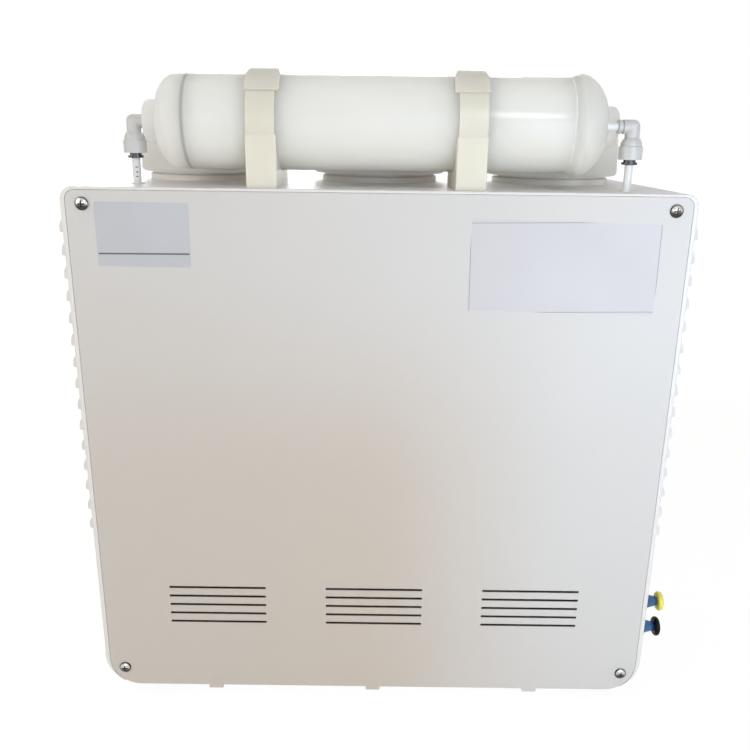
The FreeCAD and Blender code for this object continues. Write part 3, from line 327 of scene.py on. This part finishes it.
def clearWindow(name, look):
    finish = Finish(name, roughness=look["roughness"], ior=1.49)
    feed(finish.tree, look["clear"], finish.shader.inputs["Transmission Weight"])
    tone = finish.handled(look["colour"], look["shade"], patchScale=30.0, patchAmount=0.4,
                          speckScale=1500.0, speckAmount=0.1, roughnessRange=0.05)
    finish.skinned(500.0, 60.0, 0.8, 0.04, 0.0001)
    return finish.coloured(tone)


# Cabinet, its rear panel and the screws

cabinetLook = {"colour": (0.79, 0.78, 0.77), "shade": (0.755, 0.745, 0.73), "roughness": 0.42,
               "peel": 1500.0, "dust": 0.12}
# painted shade: the panel's coat is given a darker colour than the cabinet's coat, standing in for the
# lesser light on the upright panel
panelLook = {"colour": (0.65, 0.64, 0.63), "shade": (0.62, 0.605, 0.585), "roughness": 0.42,
             # painted shade: a near-black colour for the slot walls and the hidden side of the panel
             "peel": 1500.0, "dust": 0.1, "inside": (0.035, 0.03, 0.027), "sheet": 0.0003,
             # painted shade: a darker, yellower tone over the low middle of the panel
             "paintedShade": {"tone": (0.56, 0.48, 0.40), "amount": 0.76, "height": (0.41, 0.2),
                      "right": (-0.17, 0.03), "left": (0.0, 0.24), "leftShare": 0.6}}
screwLook = {"colour": (0.66, 0.65, 0.63), "roughness": 0.16, "stretch": (900.0, 900.0, 900.0),
             # painted shade and painted reflection: the recess colour darkens the cross recess, the under
             # colour darkens faces turned down
             "lines": 0.3, "recess": (0.02, 0.018, 0.016), "under": (0.07, 0.06, 0.05),
             "headHeight": 0.0026, "recessFrom": (0.0016, 0.0011), "underFrom": (0.12, -0.22)}


def screwSteel(look):
    # bright pan heads, with painted shade in the cross recess and a painted reflection darkening the faces
    # turned down
    finish = Finish("screwSteel", roughness=look["roughness"], metallic=1.0)
    colour = look["colour"]
    lines = finish.group(brushingGroup, (-900, -200), Stretch=look["stretch"])["Lines"]
    tone = finish.handled(colour, [c * 0.7 for c in colour], patchScale=300.0, patchAmount=0.5,
                          speckAmount=0.1)
    tone = finish.tinted(tone, lines, [c * 0.6 for c in colour], look["lines"])
    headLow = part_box("panel_screws")[1].y - look["headHeight"]
    # painted shade: the cross recess is painted nearly black
    shadeDepth = spread(finish.tree, finish.y, *[headLow + height for height in look["recessFrom"]])
    tone = finish.tinted(tone, shadeDepth, look["recess"])
    # painted reflection: the head keeps its bright tone where it looks up and is painted darker where it
    # faces down, standing in for the dark bench reflected in it
    geometry = addNode(finish.tree, "ShaderNodeNewGeometry", (-900, -700))
    facing = addNode(finish.tree, "ShaderNodeSeparateXYZ", (-700, -700))
    feed(finish.tree, geometry.outputs["Normal"], facing.inputs[0])
    down = spread(finish.tree, facing.outputs["Z"], *look["underFrom"])
    tone = finish.tinted(tone, down, look["under"])
    finish.bumped(lines, 0.1, 0.00005)
    return finish.coloured(tone)


dress(coatedSheet("cabinetCoat", cabinetLook), "cabinet_shell")
dress(coatedSheet("panelCoat", panelLook), "rear_panel")
dress(screwSteel(screwLook), "panel_screws")
print("cabinet finished")


# Bare labels

printShare = 0.85
silverLabelLook = {"paper": (0.54, 0.56, 0.60), "shade": (0.475, 0.495, 0.525), "ink": (0.03, 0.03, 0.035),
                   "tilt": -0.3, "roughness": 0.42,
                   "rule": {"drop": 0.0143, "halfLength": 0.0347, "thick": 0.0007}}
paperLabelLook = {"paper": (0.615, 0.605, 0.63), "shade": (0.585, 0.575, 0.60), "ink": (0.13, 0.14, 0.18),
                  "tilt": -0.9, "roughness": 0.5,
                  "frame": {"halfWidth": 0.0725, "halfHeight": 0.035, "inset": 0.0003, "thick": 0.0005}}


def labelSheet(name, node, look):
    # a bare label with one thin rule across it, or a thin frame round its edge
    finish = Finish(name, roughness=look["roughness"], coat=0.1)
    tree = finish.tree
    tone = finish.handled(look["paper"], look["shade"], patchScale=22.0, patchAmount=0.45,
                          speckScale=2600.0, speckAmount=0.18)
    low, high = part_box(node)
    middle = (low + high) / 2
    turn = addNode(tree, "ShaderNodeVectorRotate", (-1000, -600), rotation_type="Y_AXIS")
    for label, value in (("Center", middle), ("Angle", math.radians(look["tilt"])),
                         ("Vector", finish.point)):
        feed(tree, value, turn.inputs[label])
    split = addNode(tree, "ShaderNodeSeparateXYZ", (-800, -600))
    feed(tree, turn.outputs["Vector"], split.inputs[0])
    across = calc(tree, "ABSOLUTE", calc(tree, "SUBTRACT", split.outputs["X"], middle.x))
    up = calc(tree, "SUBTRACT", split.outputs["Z"], middle.z)
    if "rule" in look:
        rule = look["rule"]
        lines = finish.band(up, -rule["drop"] - rule["thick"], -rule["drop"] + rule["thick"], 0.0002)
        lines = calc(tree, "MULTIPLY", lines, calc(tree, "LESS_THAN", across, rule["halfLength"]))
    else:
        edge = look["frame"]
        lines = None
        for value, half in ((across, edge["halfWidth"]), (calc(tree, "ABSOLUTE", up), edge["halfHeight"])):
            outer = half - edge["inset"]
            side = finish.band(value, outer - edge["thick"], outer, 0.0001)
            lines = side if lines is None else calc(tree, "MAXIMUM", lines, side)
    finish.skinned(1800.0, 60.0, 1.0, 0.12, 0.0001)
    return finish.coloured(finish.tinted(tone, lines, look["ink"], printShare))


dress(labelSheet("silverLabel", "rating_label", silverLabelLook), "rating_label")
dress(labelSheet("paperLabel", "paper_label", paperLabelLook), "paper_label")
print("labels finished")


# Filter housing on the deck, with its cap, element, seals and clips

# painted light: the low colour lightens and warms the shaded underside of the housing
housingLook = {"colour": (0.86, 0.86, 0.845), "shade": (0.84, 0.835, 0.815), "low": (0.98, 0.965, 0.925),
               "paintedLightFrom": 0.006, "paintedLightShare": 0.8, "inner": (0.97, 0.965, 0.95), "innerShare": 0.5,
               "passing": 0.75, "roughness": 0.34, "coatRoughness": 0.06,
               "axisHeight": 0.4997, "axisY": 0.1808, "radius": 0.0356,
               "ring": {"tint": (0.33, 0.35, 0.355), "share": 0.75, "low": 0.1541, "high": 0.1579,
                        "soft": 0.0014}}
elementLook = {"colour": (0.93, 0.935, 0.93), "shade": (0.87, 0.875, 0.87),
               "seam": (0.70, 0.72, 0.72), "seamFrom": 0.93, "seamShare": 0.3, "turns": 55.0}
sealLook = {"colour": (0.16, 0.17, 0.17), "shade": (0.28, 0.29, 0.29), "roughness": 0.6, "dust": 0.0}
clipLook = {"colour": (0.76, 0.735, 0.63), "shade": (0.73, 0.70, 0.585), "roughness": 0.36, "coat": 0.25,
            "milky": 0.35, "depth": 0.008, "dust": 0.06}


def milkyShell(look):
    # milky moulding: the seal shows through as a soft band, and the low side is painted lighter and warmer
    # as painted light on its shaded underside
    finish = Finish("housingMilky", roughness=look["roughness"], coat=1.0, ior=1.49)
    feed(finish.tree, look["coatRoughness"], finish.shader.inputs["Coat Roughness"])
    tree = finish.tree
    tone = finish.handled(look["colour"], look["shade"], patchScale=9.0, patchAmount=0.5, speckScale=1200.0,
                          speckAmount=0.08, roughnessRange=0.06)
    axis = look["axisHeight"]
    # painted light: below the axis the shell is painted lighter and warmer, standing in for light on its
    # shaded underside
    below = spread(tree, finish.z, axis + look["paintedLightFrom"], axis - look["radius"], soft=True)
    tone = finish.tinted(tone, below, look["low"], look["paintedLightShare"])
    ring = look["ring"]
    seal = finish.band(finish.x, ring["low"], ring["high"], ring["soft"])
    tone = finish.tinted(tone, seal, ring["tint"], ring["share"])
    finish.skinned(900.0, 46.0, 1.2, 0.06, 0.0002)
    tone = finish.dusted(tone, 0.05)
    finish.letThrough(mixColour(tree, look["innerShare"], tone, look["inner"]), look["passing"])
    return finish.coloured(tone)


def woundElement(look):
    # membrane wrap wound in a slow spiral
    finish = Finish("membraneWrap", roughness=0.5)
    tree = finish.tree
    tone = finish.handled(look["colour"], look["shade"], patchScale=30.0, patchAmount=0.4)
    angle = calc(tree, "ARCTAN2", calc(tree, "SUBTRACT", finish.z, housingLook["axisHeight"]),
                 calc(tree, "SUBTRACT", finish.y, housingLook["axisY"]))
    turn = calc(tree, "MULTIPLY", angle, 1 / (2 * math.pi))
    turns = calc(tree, "FRACT", calc(tree, "MULTIPLY_ADD", finish.x, look["turns"], turn))
    seam = spread(tree, turns, look["seamFrom"], 1.0)
    finish.skinned(1300.0, 120.0, 0.5, 0.2, 0.0002, extra=seam)
    tone = finish.tinted(tone, seam, look["seam"], look["seamShare"])
    return finish.coloured(tone)


dress(milkyShell(housingLook), "filter_housing", "housing_end_cap")
dress(woundElement(elementLook), "membrane_element")
dress(darkRubber("sealRubber", sealLook), "housing_seals")
dress(mouldedPlastic("clipCream", clipLook), "housing_clips")
print("housing finished")


# Push-fit elbows, their collars and the tubes

elbowLook = {"colour": (0.60, 0.605, 0.595), "shade": (0.53, 0.535, 0.52), "roughness": 0.34, "coat": 0.15,
             "dust": 0.06}
collarLook = {"colour": (0.018, 0.018, 0.02), "shade": (0.05, 0.05, 0.052), "roughness": 0.2, "coat": 0.4,
              "dust": 0.0}
grommetLook = {"colour": (0.78, 0.775, 0.755), "shade": (0.70, 0.69, 0.66), "roughness": 0.5, "dust": 0.05}
tubeLook = {"colour": (0.84, 0.855, 0.845), "shade": (0.76, 0.78, 0.77), "roughness": 0.34, "milky": 0.3,
            "depth": 0.003}
tickLook = {"ink": (0.06, 0.06, 0.07), "heights": (0.4576, 0.4610, 0.4648), "half": 0.0006, "side": 0.0009,
            "reach": 0.0011}


def milkyTube(name, look, ticks=None):
    # milky polyethylene, with a few plain length ticks on the tube that stands at the rear
    finish = Finish(name, roughness=look["roughness"], coat=0.2, ior=1.5, milky=look["milky"],
                    depth=look["depth"])
    tree = finish.tree
    tone = finish.handled(look["colour"], look["shade"], patchScale=55.0, patchAmount=0.5,
                          speckScale=1500.0, speckAmount=0.12)
    if ticks:
        low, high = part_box("riser_tube_left")
        middle = (low + high) / 2
        off = calc(tree, "SUBTRACT", middle.x - ticks["side"], finish.x)
        column = finish.band(off, -ticks["reach"], ticks["reach"], 0.0003)
        column = calc(tree, "MULTIPLY", column, calc(tree, "GREATER_THAN", finish.y, middle.y))
        rows = None
        for height in ticks["heights"]:
            row = finish.band(finish.z, height - ticks["half"], height + ticks["half"], 0.0003)
            rows = row if rows is None else calc(tree, "MAXIMUM", rows, row)
        tone = finish.tinted(tone, calc(tree, "MULTIPLY", rows, column), ticks["ink"], printShare)
    finish.skinned(1700.0, 240.0, 0.7, 0.14, 0.0001)
    return finish.coloured(tone)


dress(mouldedPlastic("elbowGrey", elbowLook), "elbow_left", "elbow_right", "collet_side")
dress(mouldedPlastic("collarBlack", collarLook), "collet_left", "collet_right")
dress(mouldedPlastic("grommetWhite", grommetLook), "tube_grommets")
dress(milkyTube("riserTicked", tubeLook, tickLook), "riser_tube_left")
dress(milkyTube("milkyTube", tubeLook), "riser_tube_right", "port_stem", "internal_tubes")
print("elbows and tubes finished")


# Hand valves, water ports and mains inlet on the service side

neckLook = {"colour": (0.012, 0.115, 0.28), "shade": (0.008, 0.06, 0.15), "roughness": 0.2, "coat": 0.35,
            "dust": 0.02}
yellowLook = {"colour": (0.93, 0.83, 0.11), "shade": (0.84, 0.71, 0.07), "roughness": 0.2, "coat": 0.35,
              "dust": 0.02}
blackLook = {"colour": (0.006, 0.0065, 0.008), "shade": (0.014, 0.015, 0.017), "roughness": 0.2,
             "ior": 1.2, "dust": 0.01}
brassLook = {"colour": (0.72, 0.56, 0.28), "roughness": 0.34, "stretch": (500.0, 500.0, 500.0),
             "lines": 0.24}
portLook = {"colour": (0.62, 0.62, 0.61), "roughness": 0.2, "stretch": (90.0, 700.0, 700.0), "lines": 0.24}
inletLook = {"colour": (0.02, 0.02, 0.022), "shade": (0.05, 0.05, 0.052), "roughness": 0.42, "coat": 0.05,
             "dust": 0.1}

dress(mouldedPlastic("neckBlue", neckLook), "valve_necks")
dress(mouldedPlastic("knobYellow", yellowLook), "valve_knob_upper")
dress(mouldedPlastic("knobBlack", blackLook), "valve_knob_lower", "power_rocker")
dress(brushedMetal("turnedBrass", brassLook), "valve_bodies")
dress(brushedMetal("portSteel", portLook), "water_ports")
dress(mouldedPlastic("inletBlack", inletLook), "power_inlet")
print("service side finished")


# Lift-out cartridges with their lids and collars

lidLook = {"colour": (0.93, 0.92, 0.90), "shade": (0.91, 0.895, 0.86), "roughness": 0.34, "coat": 0.4,
           "passing": 0.55, "dust": 0.08}
cartridgeLook = {"colour": (0.79, 0.79, 0.77), "shade": (0.75, 0.75, 0.73), "roughness": 0.36, "coat": 0.2}
collarRingLook = {"colour": (0.82, 0.80, 0.75), "shade": (0.74, 0.71, 0.65), "roughness": 0.45, "dust": 0.2}

dress(mouldedPlastic("lidWhite", lidLook), "column_lid_1", "column_lid_2", "column_lid_3")
dress(mouldedPlastic("cartridgeWhite", cartridgeLook), "column_1", "column_2", "column_3")
dress(mouldedPlastic("collarRing", collarRingLook), "column_collars")
print("cartridges finished")


# Front cover with its fascia, display and keys

coverLook = {"colour": (0.79, 0.78, 0.77), "shade": (0.755, 0.745, 0.73), "roughness": 0.36, "dust": 0.1}
fasciaLook = {"colour": (0.07, 0.085, 0.105), "shade": (0.05, 0.06, 0.075), "roughness": 0.42, "coat": 0.1}
windowLook = {"colour": (0.35, 0.42, 0.46), "shade": (0.31, 0.37, 0.41), "roughness": 0.06, "clear": 0.85}
displayLook = {"colour": (0.035, 0.07, 0.09), "shade": (0.02, 0.045, 0.06), "line": (0.06, 0.12, 0.14),
               "lineShare": 0.35, "cells": 900.0, "cellEdge": 0.86}
keyLook = {"colour": (0.62, 0.64, 0.66), "shade": (0.54, 0.56, 0.58), "mark": (0.06, 0.07, 0.09),
           "roughness": 0.35, "ring": (0.0024, 0.0030), "barHalf": 0.0004, "barTop": 0.0038,
           "height": 0.318, "face": 0.001}
boardLook = {"colour": (0.02, 0.16, 0.07), "shade": (0.015, 0.11, 0.05), "copper": (0.08, 0.34, 0.14),
             "copperShare": 0.6, "runs": 120.0, "gap": 0.03}


def displayGlass(look):
    # dark liquid-crystal glass with a faint grid of cells
    finish = Finish("displayDark", roughness=0.18, coat=0.5)
    tree = finish.tree
    tone = finish.handled(look["colour"], look["shade"], patchScale=18.0, patchAmount=0.5)
    cellX = calc(tree, "FRACT", calc(tree, "MULTIPLY", finish.x, look["cells"]))
    cellZ = calc(tree, "FRACT", calc(tree, "MULTIPLY", finish.z, look["cells"]))
    columns = calc(tree, "GREATER_THAN", cellX, look["cellEdge"])
    grid = calc(tree, "MAXIMUM", columns, calc(tree, "GREATER_THAN", cellZ, look["cellEdge"]))
    finish.skinned(1500.0, 100.0, 0.3, 0.05, 0.0001)
    return finish.coloured(finish.tinted(tone, grid, look["line"], look["lineShare"]))


def keyPlastic(node, look, withRing):
    # satin key with a plain printed mark: a bar, or a bar in a ring on the first key
    finish = Finish(node + "Satin", roughness=look["roughness"], ior=1.49)
    tree = finish.tree
    tone = finish.handled(look["colour"], look["shade"], patchScale=120.0, patchAmount=0.5,
                          speckScale=2400.0, speckAmount=0.15)
    low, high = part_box(node)
    across = calc(tree, "SUBTRACT", finish.x, (low.x + high.x) / 2)
    up = calc(tree, "SUBTRACT", finish.z, look["height"])
    mark = calc(tree, "LESS_THAN", calc(tree, "ABSOLUTE", across), look["barHalf"])
    if withRing:
        squares = calc(tree, "MULTIPLY_ADD", up, up, calc(tree, "MULTIPLY", across, across))
        ring = finish.band(calc(tree, "SQRT", squares), look["ring"][0], look["ring"][1], 0.0001)
        upper = calc(tree, "MULTIPLY", mark, finish.band(up, 0.0, look["barTop"], 0.0001))
        mark = calc(tree, "MAXIMUM", ring, upper)
    else:
        mark = calc(tree, "MULTIPLY", mark, finish.band(up, -look["ring"][0], look["ring"][0], 0.0001))
    mark = calc(tree, "MULTIPLY", mark, calc(tree, "LESS_THAN", finish.y, low.y + look["face"]))
    finish.skinned(2600.0, 210.0, 0.6, 0.18, 0.0001)
    return finish.coloured(finish.tinted(tone, mark, look["mark"], printShare))


def boardMask(look):
    # green solder mask with a faint grid of copper runs
    finish = Finish("boardMask", roughness=0.35, coat=0.3)
    tree = finish.tree
    tone = finish.handled(look["colour"], look["shade"], patchScale=60.0, patchAmount=0.5)
    turn = addNode(tree, "ShaderNodeMapping", (-1100, -700))
    feed(tree, (math.radians(90), 0, 0), turn.inputs["Rotation"])
    feed(tree, finish.point, turn.inputs["Vector"])
    runs = addNode(tree, "ShaderNodeTexBrick", (-900, -700))
    feed(tree, turn.outputs["Vector"], runs.inputs["Vector"])
    feed(tree, look["runs"], runs.inputs["Scale"])
    feed(tree, look["gap"], runs.inputs["Mortar Size"])
    finish.skinned(2000.0, 200.0, 0.4, 0.1, 0.0001, extra=runs.outputs["Fac"])
    return finish.coloured(finish.tinted(tone, runs.outputs["Fac"], look["copper"], look["copperShare"]))


dress(mouldedPlastic("coverWhite", coverLook), "front_cover", "spout_base")
dress(mouldedPlastic("fasciaSlate", fasciaLook), "control_fascia")
dress(clearWindow("windowTint", windowLook), "display_window")
dress(displayGlass(displayLook), "display_module")
for number in (1, 2, 3, 4):
    node = "key_%d" % number
    dress(keyPlastic(node, keyLook, number == 1), node)
dress(boardMask(boardLook), "control_board")
print("front finished")


# Spout and its capsule filter

armLook = {"colour": (0.64, 0.64, 0.63), "roughness": 0.2, "stretch": (700.0, 700.0, 90.0), "lines": 0.2}
capsuleLook = {"colour": (0.76, 0.775, 0.785), "shade": (0.69, 0.705, 0.715), "roughness": 0.2, "coat": 0.4,
               "milky": 0.2}

dress(brushedMetal("armSteel", armLook), "spout_arm")
dress(mouldedPlastic("capsuleWhite", capsuleLook), "final_filter")


# Inner works

blockLook = {"colour": (0.70, 0.71, 0.70), "shade": (0.62, 0.63, 0.62), "roughness": 0.5}
zincLook = {"colour": (0.60, 0.62, 0.64), "roughness": 0.45, "stretch": (60.0, 500.0, 500.0), "lines": 0.24}
steelLook = {"colour": (0.62, 0.62, 0.61), "roughness": 0.2, "stretch": (90.0, 700.0, 700.0), "lines": 0.24}
pumpLook = {"colour": (0.022, 0.022, 0.024), "shade": (0.05, 0.05, 0.052), "roughness": 0.4}
motorLook = {"colour": (0.03, 0.032, 0.035), "shade": (0.06, 0.06, 0.065), "roughness": 0.5}
quartzLook = {"colour": (0.85, 0.90, 0.93), "shade": (0.78, 0.83, 0.86), "roughness": 0.03, "clear": 0.85}
cableLook = {"colour": (0.02, 0.02, 0.022), "shade": (0.045, 0.045, 0.048), "roughness": 0.7, "dust": 0.15}
footLook = {"colour": (0.028, 0.028, 0.03), "shade": (0.06, 0.06, 0.064), "roughness": 0.78, "dust": 0.4}

dress(mouldedPlastic("blockWhite", blockLook), "manifold_block", "inlet_valve", "outlet_valve")
dress(brushedMetal("zincSheet", zincLook), "base_pan", "uv_brackets", "power_supply")
dress(brushedMetal("stainless", steelLook), "conductivity_cell", "uv_chamber")
dress(mouldedPlastic("pumpBlack", pumpLook), "pump_head", "pressure_switch")
dress(mouldedPlastic("motorPaint", motorLook), "pump_motor")
dress(clearWindow("quartzSleeve", quartzLook), "uv_lamp")
dress(darkRubber("cableSheath", cableLook), "wiring_loom")
dress(darkRubber("footRubber", footLook), "feet")
print("inner works finished, nodes left bare:", sorted(set(nodes) - dressed))


# Camera at the photograph's place

viewpoint = {"place": (0.00995, 0.8258, 0.491), "pitchDown": 16.96, "roll": 0.745, "lens": 37.68}


def placeCamera(look):
    data = bpy.data.cameras.new("rearCamera")
    data.sensor_width = 36.0
    data.lens = look["lens"]
    data.clip_start = 0.01
    data.clip_end = 60.0
    camera = bpy.data.objects.new("rearCamera", data)
    bpy.context.scene.collection.objects.link(camera)
    turn = Matrix.Rotation(math.pi, 4, "Z") @ Matrix.Rotation(math.radians(90 - look["pitchDown"]), 4, "X")
    turn = turn @ Matrix.Rotation(math.radians(look["roll"]), 4, "Z")
    camera.matrix_world = Matrix.Translation(look["place"]) @ turn
    bpy.context.scene.camera = camera


placeCamera(viewpoint)
print("camera placed")


# Studio: pale floor, white surroundings and soft lamps

studioLook = {
    "floorColour": (0.90, 0.895, 0.885), "floorBounce": (0.90, 0.81, 0.69), "floorGlow": (0.80, 1.0),
    "glowReach": (0.7, 2.2), "glowStrength": 1.1,
    "horizon": 0.29, "zenith": 0.30, "worldColour": (1.0, 0.965, 0.92),
    "lamps": {
        "rearWindow": {"place": (0.1, 1.9, 0.56), "aim": (0.0, 0.2, 0.42), "size": (1.5, 0.7),
                       "power": 3.9, "colour": (1.0, 0.985, 0.965)},
        "highLeft": {"place": (1.1, 0.75, 0.75), "aim": (0.2, 0.22, 0.4), "size": (0.6, 0.9),
                     "power": 4.0, "colour": (1.0, 0.985, 0.96)},
        "coolSide": {"place": (-0.38, 0.76, 0.36), "aim": (-0.12, 0.22, 0.32), "size": (0.35, 0.5),
                     "power": 2.15, "colour": (0.68, 0.82, 1.0)},
        "topWash": {"place": (0.0, 0.3, 2.6), "aim": (0.0, 0.0, 0.4), "size": (2.0, 2.0),
                    "power": 6.6, "colour": (1.0, 1.0, 1.0)},
        "frontWash": {"place": (0.4, -2.6, 0.7), "aim": (0.0, -0.1, 0.3), "size": (2.0, 2.0),
                      "power": 42.0, "colour": (1.0, 0.99, 0.98)},
        "windowStrip": {"place": (-0.545, 2.5, 1.5), "aim": (-0.1, 0.18, 0.5), "size": (0.25, 0.6),
                        "power": 8.0, "colour": (1.0, 1.0, 1.0)},
    },
}


def addLamp(name, look):
    data = bpy.data.lights.new(name, "AREA")
    data.shape = "RECTANGLE"
    data.size, data.size_y = look["size"]
    data.energy = look["power"]
    data.color = look["colour"]
    lamp = bpy.data.objects.new(name, data)
    bpy.context.scene.collection.objects.link(lamp)
    away = Vector(look["place"]) - Vector(look["aim"])
    turn = away.to_track_quat("Z", "Y").to_matrix().to_4x4()
    lamp.matrix_world = Matrix.Translation(look["place"]) @ turn


def seenShare(tree):
    # 1 for rays from the camera, from gloss and through glass
    path = addNode(tree, "ShaderNodeLightPath", (-600, 400))
    seen = calc(tree, "MAXIMUM", path.outputs["Is Camera Ray"], path.outputs["Is Glossy Ray"])
    return calc(tree, "MAXIMUM", seen, path.outputs["Is Transmission Ray"])


def makeFloor(look):
    mesh = bpy.data.meshes.new("floor")
    net = bmesh.new()
    bmesh.ops.create_grid(net, x_segments=4, y_segments=4, size=20)
    net.to_mesh(mesh)
    net.free()
    floor = bpy.data.objects.new("floor", mesh)
    bpy.context.scene.collection.objects.link(floor)
    finish = Finish("floorPale", roughness=0.9)
    tree = finish.tree
    seen = seenShare(tree)
    tone = mixColour(tree, seen, look["floorBounce"], look["floorColour"])
    worn = [c * 0.96 for c in look["floorColour"]]
    finish.coloured(finish.handled(tone, worn, patchScale=2.0, patchAmount=0.2, speckAmount=0.0))
    glow = addNode(tree, "ShaderNodeEmission", (0, -400))
    feed(tree, look["glowStrength"], glow.inputs["Strength"])
    blend = addNode(tree, "ShaderNodeMixShader", (300, 0))
    away = addNode(tree, "ShaderNodeVectorMath", (-600, -600), operation="LENGTH")
    feed(tree, finish.point, away.inputs[0])
    share = spread(tree, away.outputs["Value"], *look["glowReach"], *look["floorGlow"], soft=True)
    feed(tree, calc(tree, "MULTIPLY", seen, share), blend.inputs["Fac"])
    feed(tree, finish.shader.outputs[0], blend.inputs[1])
    feed(tree, glow.outputs[0], blend.inputs[2])
    feed(tree, blend.outputs[0], tree.nodes["Material Output"].inputs["Surface"])
    mesh.materials.append(finish.material)


def makeWorld(look):
    world = bpy.data.worlds.new("paleRoom")
    bpy.context.scene.world = world
    world.use_nodes = True
    tree = world.node_tree
    background = tree.nodes["Background"]
    seen = seenShare(tree)
    split = addNode(tree, "ShaderNodeSeparateXYZ", (-600, -300))
    feed(tree, addNode(tree, "ShaderNodeTexCoord", (-800, -300)).outputs["Generated"], split.inputs[0])
    light = spread(tree, split.outputs["Z"], 0.0, 1.0, look["horizon"], look["zenith"])
    feed(tree, mixColour(tree, seen, look["worldColour"], (1.0, 1.0, 1.0)), background.inputs["Color"])
    blend = addNode(tree, "ShaderNodeMix", (0, -300), data_type="FLOAT")
    for index, value in ((0, seen), (2, light), (3, 1.0)):
        feed(tree, value, blend.inputs[index])
    feed(tree, blend.outputs[0], background.inputs["Strength"])


makeFloor(studioLook)
makeWorld(studioLook)
for name, look in studioLook["lamps"].items():
    addLamp(name, look)
bpy.context.scene.view_settings.view_transform = "Standard"
print("studio ready")
